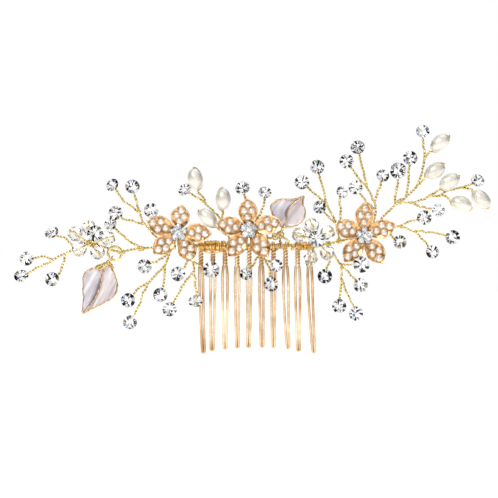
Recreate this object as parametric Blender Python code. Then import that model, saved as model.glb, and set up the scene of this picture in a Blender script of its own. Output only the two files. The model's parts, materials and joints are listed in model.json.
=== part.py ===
"""Decorative hair comb: a ten-tooth wire comb that carries a bendable wire spray of stones, pearls,
bead flowers, metal flowers and two enamelled leaves.

Frame: metres, +Z up, the comb's teeth point down, the decorated face looks along -Y and the wearer's
head is on the +Y side. The origin is the middle of the comb's bar. Places in the spray are written in
millimetres as (x, z) pairs, because the whole spray is laid out in one gently curved sheet.
"""
import math

import bmesh
import bpy
from mathutils import Matrix, Vector

for leftover in list(bpy.data.objects):
    bpy.data.objects.remove(leftover, do_unlink=True)

MM = 0.001

# Overall sizes, in millimetres
SPRAY_WIDTH = 150.0  # tip to tip; the layout below is drawn at this width
DRAWN_WIDTH = 150.0
HEAD_SWEEP = 8.0  # how far each end of the spray bends back towards the head
FIT = 0.12  # clearance between wires that are wrapped on one another
CONTACT = 0.2  # clearance between separate pieces that lie against each other

# Comb
TEETH = 10
TOOTH_PITCH = 3.8
COMB_X = -0.3  # the comb's middle sits a little left of the spray's
BAR_RADIUS = 0.8
TOOTH_LENGTH = 32.2
TOOTH_ARCH = 1.9  # the outer teeth are longer by this much
TOOTH_BEND = 2.5  # the tips curve back towards the head
TOOTH_ROPE = 6.4  # length of the twisted top of each tooth
ROPE_RADIUS = 0.85
STRAND_RADIUS = 0.48
STRAND_BOW = 0.64  # half the distance between the two strands of a tooth
TOOTH_LEANS = (0.8, -0.3, 0.0, 0.1, -0.2, 0.3, 0.0, 0.9, 0.4, 1.5)

# Wires of the spray
VINE_RADIUS = 0.45
STEM_RADIUS = 0.4
BRANCH_STEP = 0.06  # each later branch of a sprig lies this much in front of the one before
LOOP_RADIUS = 0.22  # the single wire that threads a pearl
COLLAR_WIRE = 0.4  # wall of the tight wrapping that ties a sprig to the vine
COLLAR_LENGTH = 1.6
RAISED = 3.0  # a stone that stands further forward than this sits on a bent-up stem
BINDING_RADIUS = 0.25
STEM_EMBED = 0.45  # how far a stem's tip reaches into the stone's cup

# Ornaments
STONE_DIAMETER = 4.6
CUP_DEPTH = 1.4
CROWN_HEIGHT = 0.7
PEARL_LENGTH = 6.8
PEARL_WIDTH = 4.8
PEARL_HOLE = 0.45
PEARL_LOOP_TURN = 0.62  # how far the wire passes in front of the pearl's tip
PEARL_LOOP_ROOT = 0.75  # how far below the pearl its wire joins the stem
BEAD_RADIUS = 2.3
BEAD_LENGTH = 4.0
BEAD_HOLE = 0.5
SPOKE_RADIUS = 0.27
PETAL_REACH = 10.3
PETAL_WIDTH = 5.8
PETAL_THICKNESS = 0.45
PETAL_RISE = 1.7
EYELET_RADIUS = 0.55  # hole in the middle of a flower's petals
RING_RADIUS = 2.15  # the jump ring, to the middle of its wire
RING_WIRE = 0.42
RING_PLAY = 0.25  # between the ring's wire and the eye and bail that it hangs in
EYE_WIRE = 0.28  # the eye on the vine and the leaf's bail
RIM_RADIUS = 0.32  # the leaves' rim wire
ENAMEL_THICKNESS = 0.5
LEAF_FOLD = 0.75
VEIN_CLEARANCE = 0.36  # between the mid-vein's wire and the fold behind it
ENAMEL_INSET = RIM_RADIUS + CONTACT + 0.25  # from the rim's line to the enamel's edge

# Layers, front to back, each worked out from the wires behind it
COLLAR_BORE = VINE_RADIUS + FIT
COLLAR_OUTER = COLLAR_BORE + COLLAR_WIRE
VINE_Y = -(BAR_RADIUS + FIT + COLLAR_OUTER)
STEM_Y = VINE_Y - 0.1
CUP_Y = STEM_Y - 0.2
BEAD_Y = VINE_Y - COLLAR_OUTER - CONTACT - BEAD_RADIUS + 0.2
PEARL_Y = STEM_Y - STEM_RADIUS - CONTACT - PEARL_WIDTH / 2 - 0.3
FLOWER_Y = CUP_Y - CUP_DEPTH - CROWN_HEIGHT - 1.2
RING_Y = VINE_Y - VINE_RADIUS - RING_WIRE - 0.5
BEAD_FLOWER_STONE_Y = BEAD_Y - BEAD_RADIUS - CONTACT

SCALE = SPRAY_WIDTH / DRAWN_WIDTH


def material(name, colour, roughness, metallic):
    made = bpy.data.materials.new(name)
    made.use_nodes = True
    shader = made.node_tree.nodes["Principled BSDF"]
    shader.inputs["Base Color"].default_value = (*colour, 1.0)
    shader.inputs["Roughness"].default_value = roughness
    shader.inputs["Metallic"].default_value = metallic
    return made


GOLD_WIRE = material("gold_wire", (0.70, 0.47, 0.15), 0.25, 1.0)
ROSE_GOLD = material("rose_gold", (0.69, 0.40, 0.19), 0.28, 1.0)
FLOWER_METAL = material("flower_metal", (0.62, 0.26, 0.07), 0.3, 1.0)
CRYSTAL = material("crystal", (0.86, 0.87, 0.88), 0.05, 0.0)
PEARL = material("pearl", (0.85, 0.80, 0.70), 0.22, 0.0)
ENAMEL = material("enamel", (0.66, 0.60, 0.62), 0.2, 0.0)


# Geometry helpers: everything is drawn in millimetres and scaled to metres when its mesh is made
def sweep(x):
    """How far back the curved sheet of the spray lies at x."""
    return HEAD_SWEEP * (x / (DRAWN_WIDTH / 2)) ** 2


def on_sheet(x, z, y=STEM_Y):
    """A point of the comb, in the layer y, which doesn't follow the spray's width."""
    return Vector((x, y + sweep(x), z))


def place(x, z, y=STEM_Y):
    """A point of the spray's layout, in the layer y."""
    return on_sheet(x * SCALE, z * SCALE, y)


def smooth(points, step=3.3, closed=False):
    """Points along a Catmull-Rom curve through the given ones, about a step apart."""
    count = len(points)
    result = []
    for index in range(count if closed else count - 1):
        if closed:
            before, start, end, after = (points[(index + k - 1) % count] for k in range(4))
        else:
            before, start = points[max(index - 1, 0)], points[index]
            end, after = points[index + 1], points[min(index + 2, count - 1)]
        pieces = max(1, round((end - start).length / step))
        for piece in range(pieces):
            t = piece / pieces
            result.append(0.5 * (2 * start + (end - before) * t
                                 + (2 * before - 5 * start + 4 * end - after) * t ** 2
                                 + (3 * start - before - 3 * end + after) * t ** 3))
    if not closed:
        result.append(points[-1])
    return result


def helper_object(mesh):
    made = bpy.data.objects.new("shape", mesh)
    bpy.context.scene.collection.objects.link(made)
    return made


def evaluated_mesh(source):
    bpy.context.view_layer.update()
    graph = bpy.context.evaluated_depsgraph_get()
    return bpy.data.meshes.new_from_object(source.evaluated_get(graph), depsgraph=graph)


def tube(points, radius, closed=False, resolution=1):
    """A round wire along the points: a curve with a bevel and filled ends."""
    curve = bpy.data.curves.new("wire", "CURVE")
    curve.dimensions = "3D"
    curve.twist_mode = "MINIMUM"
    curve.bevel_depth = radius * MM
    curve.bevel_resolution = resolution
    curve.render_resolution_u = 0
    curve.use_fill_caps = True
    spline = curve.splines.new("POLY")
    spline.points.add(len(points) - 1)
    for target, point in zip(spline.points, points):
        target.co = (*(point * MM), 1.0)
    spline.use_cyclic_u = closed
    guide = helper_object(curve)
    mesh = evaluated_mesh(guide)
    bpy.data.objects.remove(guide, do_unlink=True)
    shape = bmesh.new()
    shape.from_mesh(mesh)
    bmesh.ops.remove_doubles(shape, verts=shape.verts, dist=0.001 * MM)
    bmesh.ops.recalc_face_normals(shape, faces=shape.faces)
    shape.to_mesh(mesh)
    shape.free()
    return helper_object(mesh)


def loft(rings, closed=False):
    """A closed skin over equal rings of points, capped at its ends unless it closes on itself."""
    shape = bmesh.new()
    rows = [[shape.verts.new(point * MM) for point in ring] for ring in rings]
    size = len(rings[0])
    for index in range(len(rows) if closed else len(rows) - 1):
        near, far = rows[index], rows[(index + 1) % len(rows)]
        for side in range(size):
            after = (side + 1) % size
            shape.faces.new((near[side], near[after], far[after], far[side]))
    if not closed:
        shape.faces.new(rows[0][::-1])
        shape.faces.new(rows[-1])
    bmesh.ops.recalc_face_normals(shape, faces=shape.faces)
    mesh = bpy.data.meshes.new("loft")
    shape.to_mesh(mesh)
    shape.free()
    return helper_object(mesh)


def turned(profile, centre, axis, sides=8, bored=False):
    """A turned piece: (radius, height) pairs spun about an axis; a bored one is a closed section."""
    turn = axis.normalized().to_track_quat("Z", "Y").to_matrix()
    rings = []
    for radius, height in profile:
        angles = (math.tau * (side + 0.5) / sides for side in range(sides))
        rings.append([centre + turn @ Vector((radius * math.cos(a), radius * math.sin(a), height))
                      for a in angles])
    return loft(rings, closed=bored)


def combined(shapes, operation="UNION", solver="EXACT"):
    """The first shape with the others joined to it or cut from it."""
    base = shapes[0]
    for tool in shapes[1:]:
        cut = base.modifiers.new(operation.lower(), "BOOLEAN")
        cut.operation = operation
        cut.solver = solver
        cut.object = tool
    mesh = evaluated_mesh(base)
    for used in shapes:
        bpy.data.objects.remove(used, do_unlink=True)
    return helper_object(mesh)


def finished(name, shape, look, origin=Vector((0, 0, 0)), sharp=40):
    """Names a piece, gives it its material and puts its origin on its joint's axis."""
    shape.name = name
    shape.data.name = name
    shape.data.transform(Matrix.Translation(-origin * MM))
    shape.location = origin * MM
    shape.data.materials.clear()
    shape.data.materials.append(look)
    shape.data.shade_smooth()
    shape.data.set_sharp_from_angle(angle=math.radians(sharp))
    return shape


# The comb: one wire bar and ten hairpin teeth whose tops are twisted into a short rope
def tooth_x(index):
    return COMB_X + (index - (TEETH - 1) / 2) * TOOTH_PITCH


def gap_x(index):
    """The middle of the gap to the right of a tooth."""
    return tooth_x(index) + TOOTH_PITCH / 2


BAR_END = (TEETH - 1) / 2 * TOOTH_PITCH + 1.7


def comb_bar():
    points = [on_sheet(COMB_X + BAR_END * k / 4, 0, 0) for k in range(-4, 5)]
    finished("comb_bar", tube(points, BAR_RADIUS, resolution=2), ROSE_GOLD)


def comb_tooth(index):
    top = -(BAR_RADIUS + FIT)
    outward = (2 * index / (TEETH - 1) - 1) ** 2
    length = TOOTH_LENGTH + TOOTH_ARCH * outward
    lean = TOOTH_LEANS[index]

    def along(side, drop):
        """A point of the tooth: side is across it, drop is the share of its length."""
        x = tooth_x(index) + lean * drop ** 2 + side
        return Vector((x, sweep(tooth_x(index)) + TOOTH_BEND * drop ** 2, -length * drop))

    rope_share = TOOTH_ROPE / length
    rope = tube([along(0, -top / length), along(0, rope_share)], ROPE_RADIUS)
    shares = (rope_share - 0.03, 0.35, 0.6, 0.82, 0.96)
    bows = [STRAND_BOW * b for b in (0.86, 0.93, 1.0, 0.9, 0.86)]
    down = [along(-bow, share) for bow, share in zip(bows, shares)]
    up = [along(bow, share) for bow, share in zip(bows, shares)][::-1]
    end = bows[-1]
    tip_centre = along(0, 1.0) + Vector((0, 0, end + STRAND_RADIUS))
    turn = [tip_centre + Vector((-end * math.cos(a), 0, -end * math.sin(a)))
            for a in (math.pi * k / 4 for k in range(1, 4))]
    hairpin = tube(down + turn + up, STRAND_RADIUS)
    finished(f"comb_tooth_{index + 1:02d}", combined([rope, hairpin]), ROSE_GOLD)


def binding_wire():
    """Binds the spray's vine to the front of the bar, one turn in each gap between teeth."""
    slack = CONTACT + 0.15
    front = VINE_Y - COLLAR_OUTER - slack - BINDING_RADIUS
    back = BAR_RADIUS + slack + BINDING_RADIUS
    deep, middle = (back - front) / 2, (back + front) / 2
    tall = COLLAR_OUTER + slack + BINDING_RADIUS
    per_turn = 10
    points = []
    for step in range((TEETH - 1) * per_turn + 1):
        x = tooth_x(0) + TOOTH_PITCH * step / per_turn
        angle = math.tau * step / per_turn
        points.append(Vector((x, sweep(x) + middle + deep * math.sin(angle), tall * math.cos(angle))))
    finished("bar_binding_wire", tube(points, BINDING_RADIUS, resolution=0), GOLD_WIRE)


# The vine: one wire along the front of the bar, from the left bead flower to behind the right flower
VINE_LAYOUT = ((-56.6, 0.9), (-52.2, 0.7), (-48.0, -0.2), (-44.0, -1.6), (-40.5, -1.4), (-37.0, -0.8),
               (-32.0, -0.5), (-26.0, -0.2))
VINE_RIGHT = ((22.4, 0.7), (26.0, 1.5), (30.0, 2.4), (34.0, 3.2), (38.0, 4.4), (40.3, 5.2))


def vine_points():
    left = [place(x, z, VINE_Y) for x, z in VINE_LAYOUT]
    across = [on_sheet(COMB_X + BAR_END * k / 4, 0, VINE_Y) for k in range(-4, 5)]
    right = [place(x, z, VINE_Y) for x, z in VINE_RIGHT]
    return smooth(left + across + right)


VINE = vine_points()


def at_x(path, x):
    """The point of a path at x, and the path's direction there."""
    for start, end in zip(path, path[1:]):
        if min(start.x, end.x) <= x <= max(start.x, end.x):
            share = (x - start.x) / (end.x - start.x)
            return start.lerp(end, share), (end - start).normalized()
    raise ValueError("the path doesn't reach this place")


def collar(path, x):
    """The tight wrapping that ties a sprig to a wire: a sleeve around it."""
    centre, along = at_x(path, x)
    half = COLLAR_LENGTH / 2
    section = ((COLLAR_BORE, -half), (COLLAR_OUTER, -half), (COLLAR_OUTER, half), (COLLAR_BORE, half))
    return turned(section, centre, along, bored=True)


def from_collar(path, x, towards):
    """Where a stem leaves its collar's wall, square to the wire, on the side of the next point."""
    centre, along = at_x(path, x)
    out = towards - centre
    out = (out - along * out.dot(along)).normalized()
    return centre + out * (COLLAR_BORE + COLLAR_WIRE * 0.4 + FIT)


RING_CENTRE = (-44.4, -2.3)


def vine():
    """The vine, with the small eye that holds the jump ring."""
    hinge = place(*RING_CENTRE, RING_Y) + Vector((RING_RADIUS, 0, 0))
    eye_radius = RING_WIRE + RING_PLAY + EYE_WIRE
    around = [hinge + Vector((eye_radius * math.cos(a), eye_radius * math.sin(a), 0))
              for a in (math.tau * k / 10 for k in range(10))]
    eye = tube(around, EYE_WIRE, closed=True)
    behind, _ = at_x(VINE, hinge.x)
    stub = tube([hinge + Vector((0, eye_radius, 0)), behind], EYE_WIRE * 0.9)
    body = tube(VINE, VINE_RADIUS)
    finished("vine_wire", combined([body, eye, stub]), GOLD_WIRE)
    return hinge


def jump_ring(hinge):
    centre = place(*RING_CENTRE, RING_Y)
    around = [centre + Vector((RING_RADIUS * math.cos(a), 0, RING_RADIUS * math.sin(a)))
              for a in (math.tau * k / 16 for k in range(16))]
    finished("jump_ring", tube(around, RING_WIRE, closed=True), GOLD_WIRE, origin=hinge)


# Stones in cups, and pearls threaded on wire loops
def stone_in_cup(centre, diameter, facing=Vector((0, -1, 0))):
    """A cup and its stone as one turned shape, from the cup's back at the centre to the table."""
    radius = diameter / 2
    profile = ((radius * 0.6, 0.0), (radius, CUP_DEPTH), (radius * 0.55, CUP_DEPTH + CROWN_HEIGHT))
    return turned(profile, centre, facing)


PEARLS = (  # middle x, middle z, the direction of the drilled hole from stem to tip, wire's side
    (-19.0, 20.9, 100, -1),
    (-10.3, 14.6, 90, 1),
    (-15.2, 8.8, 135, 1),
    (57.7, 32.4, 40, -1),
    (56.2, 23.6, 35, 1),
    (60.7, 20.2, 35, -1),
    (64.6, 13.3, -20, -1),
    (71.0, 14.8, -45, -1),
)


def pearl_frame(number):
    """A pearl's middle, the direction of its hole and the direction across it."""
    x, z, angle, side = PEARLS[number]
    turn = math.radians(angle)
    along = Vector((math.cos(turn), 0, math.sin(turn)))
    across = Vector((-along.z, 0, along.x)) * side
    return place(x, z, PEARL_Y), along, across


def pearl(number):
    middle, along, _ = pearl_frame(number)
    half, wide = PEARL_LENGTH / 2, PEARL_WIDTH / 2
    start = math.asin(PEARL_HOLE / wide)
    angles = [start + (math.pi - 2 * start) * k / 5 for k in range(6)]
    section = [(wide * math.sin(a), -half * math.cos(a)) for a in angles]
    finished(f"pearl_{number + 1}", turned(section, middle, along, sides=10, bored=True), PEARL,
             origin=middle, sharp=60)


def pearl_base(number):
    """Where the stem below a pearl ends."""
    middle, along, _ = pearl_frame(number)
    return middle - along * (PEARL_LENGTH / 2 + PEARL_LOOP_ROOT)


def pearl_loop(number):
    """The wire out of the stem, through the pearl, over its tip and down its side to the stem."""
    middle, along, across = pearl_frame(number)
    half, off = PEARL_LENGTH / 2, PEARL_WIDTH / 2 + LOOP_RADIUS + CONTACT
    through = [(-half - PEARL_LOOP_ROOT - 0.55, 0), (half + 0.5, 0)]
    over = [((half + PEARL_LOOP_TURN) * math.cos(a), off * math.sin(a))
            for a in (math.radians(d) for d in (25, 50, 75, 100, 125, 148))]
    home = [(-half - PEARL_LOOP_ROOT, 0.55), (-half - 2 * PEARL_LOOP_ROOT, 0.12)]
    runs = (through, [(half + 0.25, 0.04), *over, *home])
    return [tube([middle + along * u + across * v for u, v in run], LOOP_RADIUS, resolution=0)
            for run in runs]


# Sprigs. Each stem is a list of (x, z) places from its root to its tip; the first one starts at
# the collar and a branch starts on a place of an earlier stem. A tip is a stone (x, z, and its
# diameter and how far it stands forward where it isn't a common one) or a pearl's number.
def stone(x, z, diameter=STONE_DIAMETER, forward=0.0):
    return ("stone", x, z, diameter, forward)


def bead_of_pearl(number):
    return ("pearl", number - 1)


SPRIGS = {
    "sprig_far_left": (-55.0, (
        (((-57.4, -0.9), (-60.4, -2.5), (-64.1, -4.3), (-68.5, -6.6), (-71.6, -8.2)), stone(-74.3, -9.4)),
        (((-57.4, -0.9), (-58.6, 0.9), (-61.0, 2.6)), stone(-64.5, 4.3)),
        (((-64.1, -4.3), (-67.5, -3.5)), stone(-72.6, -3.9, 4.5)),
        (((-60.4, -2.5), (-61.0, -6.0), (-62.2, -8.8)), stone(-64.4, -10.4, 4.5)),
    )),
    "sprig_left_upper": (-28.9, (
        (((-31.3, 2.8), (-33.4, 5.0), (-35.1, 6.8), (-36.5, 10.4), (-37.8, 14.6)), stone(-38.8, 18.7)),
        (((-36.5, 10.4), (-40.0, 13.0), (-42.3, 14.8)), stone(-45.2, 19.2, 4.3)),
        (((-35.1, 6.8), (-41.4, 8.5)), stone(-44.0, 10.4, 4.5, 1.7)),
        (((-33.4, 5.0), (-33.0, 8.6)), stone(-32.9, 11.2)),
    )),
    "sprig_left_short": (-36.4, (
        (((-38.5, 0.9), (-41.5, 2.6)), stone(-45.8, 6.9, 4.3)),
    )),
    "sprig_left_lower": (-26.3, (
        (((-27.2, -2.0), (-28.8, -6.0), (-32.2, -9.6), (-34.0, -11.6), (-36.4, -12.8), (-38.4, -14.8)),
         stone(-40.2, -17.0)),
        (((-34.0, -11.6), (-36.2, -16.6), (-38.0, -21.0)), stone(-39.6, -23.9)),
        (((-28.8, -6.0), (-29.0, -10.5)), stone(-30.0, -15.3)),
        (((-27.2, -2.0), (-30.2, -4.0)), stone(-35.0, -6.3)),
    )),
    "sprig_inner_lower": (-21.2, (
        (((-20.4, -2.5), (-19.9, -4.8), (-19.8, -8.0), (-22.5, -11.6), (-25.2, -16.4)),
         stone(-27.1, -19.8)),
        (((-19.8, -8.0), (-19.0, -12.0)), stone(-19.0, -17.2)),
        (((-20.4, -2.5), (-22.0, -5.6)), stone(-24.5, -8.7)),
        (((-19.9, -4.8), (-17.0, -6.2)), stone(-14.0, -7.4, 5.2)),
    )),
    "sprig_middle_left": (gap_x(2), (
        (((-8.8, 3.4), (-10.2, 6.4), (-12.2, 9.8), (-15.2, 12.6), (-16.6, 15.0)), bead_of_pearl(1)),
        (((-15.2, 12.6), (-18.2, 15.0)), stone(-22.4, 17.7, 4.3)),
        (((-10.2, 6.4), (-10.6, 9.0)), bead_of_pearl(2)),
        (((-8.8, 3.4), (-10.4, 4.2)), bead_of_pearl(3)),
    )),
    "sprig_middle_upper": (gap_x(4), (
        (((-0.8, 3.4), (-1.1, 6.4), (-1.8, 9.6), (-3.2, 13.8)), stone(-4.3, 18.2)),
        (((-1.1, 6.4), (1.0, 9.4), (2.3, 12.6)), stone(2.7, 16.8, 4.2)),
    )),
    "sprig_middle_lower": (tooth_x(5), (
        (((2.0, -2.4), (2.8, -4.4), (4.2, -8.0)), stone(4.7, -11.9)),
        (((2.8, -4.4), (4.6, -5.0)), stone(6.3, -6.1, 4.0)),
        (((2.0, -2.4), (-0.4, -4.4)), stone(-3.2, -8.7, 4.0)),
    )),
    "sprig_right_lower": (22.7, (
        (((23.5, -1.6), (26.6, -5.6), (29.6, -9.0)), stone(32.7, -12.2)),
        (((26.6, -5.6), (26.9, -10.5), (26.4, -15.0)), stone(26.0, -18.8)),
        (((26.9, -10.5), (29.2, -16.0)), stone(31.2, -21.1)),
        (((23.5, -1.6), (22.8, -4.6)), stone(21.5, -9.4)),
        (((26.6, -5.6), (29.6, -5.8)), stone(32.7, -5.7, 5.2, 5.3)),
    )),
    "sprig_right_inner": (26.2, (
        (((25.4, 5.0), (25.0, 7.0), (24.2, 9.0), (22.2, 13.0), (21.0, 18.0)), stone(19.1, 24.8)),
        (((22.2, 13.0), (18.8, 16.0)), stone(14.3, 20.0)),
        (((25.0, 7.0), (22.6, 9.2)), stone(19.8, 12.2, 4.1)),
        (((25.4, 5.0), (26.3, 9.6)), stone(26.9, 16.9, 3.9)),
    )),
    "sprig_right_upper": (33.9, (
        (((35.8, 5.8), (37.2, 9.0), (37.4, 11.4), (37.1, 13.6), (35.0, 18.6), (33.4, 24.0)),
         stone(31.8, 31.0)),
        (((35.0, 18.6), (32.4, 21.0)), stone(28.3, 26.6)),
        (((37.1, 13.6), (38.4, 17.6)), stone(39.7, 22.1, 4.1)),
        (((37.4, 11.4), (34.4, 14.2)), stone(31.1, 18.4, 4.4)),
    )),
    "sprig_right_main": (36.9, (
        (((38.9, 7.6), (41.0, 10.4), (43.6, 12.8), (47.0, 15.2), (50.6, 19.0), (52.2, 23.4),
          (53.1, 27.4)), bead_of_pearl(4)),
        (((53.1, 27.4), (52.8, 31.0)), stone(52.4, 36.1, 4.3)),
        (((47.0, 15.2), (47.7, 19.4)), stone(48.4, 27.7)),
        (((43.6, 12.8), (44.0, 17.0)), stone(44.6, 23.7, 5.2)),
        (((50.6, 19.0), (52.0, 20.0)), bead_of_pearl(5)),
    )),
    "sprig_right_low": (39.2, (
        (((41.4, 4.6), (44.7, 6.2), (49.8, 4.8), (53.7, 4.5), (58.0, 3.8)), stone(62.0, 2.8)),
        (((44.7, 6.2), (49.0, 7.8)), stone(52.9, 9.0)),
        (((49.8, 4.8), (53.0, 1.4)), stone(55.5, -1.8, 4.2)),
        (((41.4, 4.6), (42.6, 3.2)), stone(45.1, 1.3, 4.3)),
    )),
}
PEARL_SPRIG = "sprig_right_pearls"
PEARL_SPRIG_X = 45.4  # where its collar sits on the main stem
PEARL_STEMS = (
    (((48.6, 13.6), (51.6, 14.4), (54.6, 15.8), (56.2, 16.6)), bead_of_pearl(6)),
    (((54.6, 15.8), (57.6, 15.8), (59.2, 16.2)), bead_of_pearl(7)),
    (((57.6, 15.8), (60.4, 17.6), (64.0, 18.4), (66.4, 19.0)), stone(70.0, 20.8, 4.4)),
    (((64.0, 18.4), (65.8, 18.4)), bead_of_pearl(8)),
    (((48.6, 13.6), (52.0, 12.4)), stone(57.4, 11.3, 4.2)),
)


def tip_shapes(tip):
    """The shapes at the end of a stem, and where the stem ends."""
    if tip[0] == "pearl":
        return pearl_loop(tip[1]), pearl_base(tip[1])
    _, x, z, diameter, forward = tip
    back = place(x, z, CUP_Y - forward)
    return [stone_in_cup(back, diameter)], back + Vector((0, -STEM_EMBED, 0))


def sprig(name, path, root_x, stems):
    """One sprig: its collar on a wire, its branching stem and what sits on the tips."""
    shapes = [collar(path, root_x)]
    for number, (layout, tip) in enumerate(stems):
        points = [place(x, z, STEM_Y - BRANCH_STEP * number) for x, z in layout]
        if number == 0:
            points.insert(0, from_collar(path, root_x, points[0]))
        tips, end = tip_shapes(tip)
        if tip[0] == "stone" and tip[4] > RAISED:
            points.append(Vector((end.x, points[-1].y, end.z)))
        points.append(end)
        shapes.append(tube(smooth(points), STEM_RADIUS))
        shapes.extend(tips)
    # the forks are nearly tangent wires, which the exact solver leaves open
    finished(name, combined(shapes, solver="MANIFOLD"), GOLD_WIRE)


def main_stem_path():
    """The main right stem from its collar to its tip, as its sprig draws it."""
    root_x, stems = SPRIGS["sprig_right_main"]
    root_x = root_x * SCALE
    points = [place(x, z) for x, z in stems[0][0]]
    points.insert(0, from_collar(VINE, root_x, points[0]))
    return smooth(points + [pearl_base(stems[0][1][1])])


# Metal flowers: five dished petals on an eyelet, and a cluster of six small stones sewn through it
FLOWERS = {  # middle, each petal's direction and how much of the full reach shows, and its tie's x
    "flower_left": ((-24.3, 4.3), ((-2.5, 1), (82, 0.82), (159.5, 1), (221, 0.97), (297, 0.98)), -23.6),
    "flower_middle": ((-2.4, 5.1), ((15, 1), (92, 0.94), (168, 0.98), (232.5, 1), (306.5, 1)), None),
    "flower_right": ((33.8, 3.3), ((20.5, 0.98), (90, 1), (159, 0.95), (232, 1), (303, 1)), 30.8),
}
EYELET_OUTER = 2.1
CLUSTER_RADIUS = 2.0
SEED_RADIUS = 0.68


def petal(centre, angle, reach, lift):
    """One dished petal, pointed at its tip, as a skin over cross-sections."""
    turn = math.radians(angle)
    out = Vector((math.cos(turn), 0, math.sin(turn)))
    side = Vector((-math.sin(turn), 0, math.cos(turn)))
    start = EYELET_OUTER * 0.55
    shares = (0.0, 0.18, 0.4, 0.62, 0.82, 1.0)
    widths = (0.26, 0.62, 0.95, 1.0, 0.72, 0.1)
    rings = []
    for share, width in zip(shares, widths):
        half = PETAL_WIDTH / 2 * width
        front, back = [], []
        for across in (-1, 0, 1):
            rise = PETAL_RISE * share ** 2 + 0.7 * across ** 2 * math.sin(math.pi * share) * width
            spot = centre + out * (start + (PETAL_REACH * reach - start) * share) + side * half * across
            spot.y -= lift
            front.append(spot + Vector((0, -PETAL_THICKNESS - rise, 0)))
            back.append(spot + Vector((0, -rise, 0)))
        rings.append(front + back[::-1])
    return loft(rings)


def flower_petals(name, centre, directions):
    stack = 0.04  # each petal is pressed a little in front of the one before it
    eyelet = turned(((EYELET_OUTER, -0.05), (EYELET_OUTER, PETAL_THICKNESS + stack * len(directions))),
                    centre, Vector((0, -1, 0)), sides=12)
    petals = [petal(centre, angle, reach, stack * number)
              for number, (angle, reach) in enumerate(directions)]
    whole = combined([eyelet, *petals])
    hole = turned(((EYELET_RADIUS, -2), (EYELET_RADIUS, 2)), centre, Vector((0, -1, 0)))
    finished(f"{name}_petals", combined([whole, hole], "DIFFERENCE"), FLOWER_METAL)


def flower_centre(name, centre, root_x):
    """Six small stones on a button whose wire passes the eyelet and wraps the vine."""
    forward = Vector((0, -1, 0))
    base = centre + forward * (PETAL_THICKNESS + 0.2 + FIT)
    button = turned(((CLUSTER_RADIUS, 0), (CLUSTER_RADIUS, 0.4)), base, forward, sides=10)
    seats = [Vector((0, 0, 0))]
    seats += [Vector((math.cos(a), 0, math.sin(a))) * (CLUSTER_RADIUS - SEED_RADIUS * 0.8)
              for a in (math.tau * (k + 0.25) / 5 for k in range(5))]
    bumps = [turned(((SEED_RADIUS * 0.93, 0.2), (SEED_RADIUS * 0.45, 1.0)), base + seat, forward, sides=6)
             for seat in seats]
    knee = centre + Vector((0, 1.7, 0))
    start = from_collar(VINE, root_x, knee)
    wire = tube(smooth([base + forward * 0.2, centre + Vector((0, 0.8, 0)), knee, start], 1.2),
                SPOKE_RADIUS)
    finished(f"{name}_centre", combined([button, *bumps, wire, collar(VINE, root_x)]), CRYSTAL)


# Bead flowers: five faceted beads, each turning on its own spoke, round a stone in a cup
BEAD_FLOWERS = {  # hub, its stone, its tie's x, and each bead's kind, direction and distance in bead radii
    "bead_flower_left": ((-52.2, 0.9), (-50.3, 3.8), -50.5, (
        ("round", 147, 2.39), ("round", 209, 1.63), ("round", 93, 2.13), ("round", 15, 2.57),
        ("round", 311, 1.63))),
    "bead_flower_right": ((18.6, 2.1), (18.6, 2.1), 19.4, (
        ("round", 164, 2.35), ("round", 107, 1.96), ("round", 30, 1.87), ("round", 310, 2.39),
        ("bicone", 255, 2.65))),
}
HUB_RADIUS = 0.85
HUB_STONE = 5.1
BICONE_HALF = 0.7  # a bicone's half length, as a share of a round bead's length


def bead_section(kind):
    half = BEAD_LENGTH / 2
    if kind == "bicone":
        half = BEAD_LENGTH * BICONE_HALF
        outer = [(BEAD_HOLE + 0.25, -half), (BEAD_RADIUS * 1.1, 0), (BEAD_HOLE + 0.25, half)]
    else:
        outer = [(BEAD_RADIUS * 0.62, -half), (BEAD_RADIUS, -half * 0.4), (BEAD_RADIUS, half * 0.4),
                 (BEAD_RADIUS * 0.62, half)]
    return [(BEAD_HOLE, -half), *outer, (BEAD_HOLE, half)], half


def bead_flower(name, hub_place, stone_place, root_x, beads):
    hub = place(*hub_place, BEAD_Y)
    forward = Vector((0, -1, 0))
    seat = place(*stone_place, BEAD_FLOWER_STONE_Y)
    shapes = [turned(((HUB_RADIUS, -HUB_RADIUS), (HUB_RADIUS, HUB_RADIUS)), hub, forward),
              stone_in_cup(seat, HUB_STONE)]
    for number, (kind, angle, radii) in enumerate(beads):
        turn, reach = math.radians(angle), radii * BEAD_RADIUS
        out = Vector((math.cos(turn), 0, math.sin(turn)))
        section, half = bead_section(kind)
        middle = hub + out * reach
        finished(f"{name}_bead_{number + 1}", turned(section, middle, out, bored=True), CRYSTAL,
                 origin=middle, sharp=15)
        end = reach + half + 0.15
        shapes.append(tube([hub + out * HUB_RADIUS * 0.55, hub + out * (end + 0.2)], SPOKE_RADIUS))
        shapes.append(turned(((BEAD_HOLE + 0.12, 0), (BEAD_HOLE + 0.05, 0.45)), hub + out * end, out,
                             sides=6))
    root = from_collar(VINE, root_x, hub)
    shapes.append(tube(smooth([hub + Vector((0, 0.3, 0)), root], 1.2), SPOKE_RADIUS + 0.05))
    shapes.append(tube(smooth([hub + forward * 0.5, seat + forward * 0.4], 1.2), SPOKE_RADIUS + 0.05))
    shapes.append(collar(VINE, root_x))
    finished(f"{name}_wire", combined(shapes), GOLD_WIRE)


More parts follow.
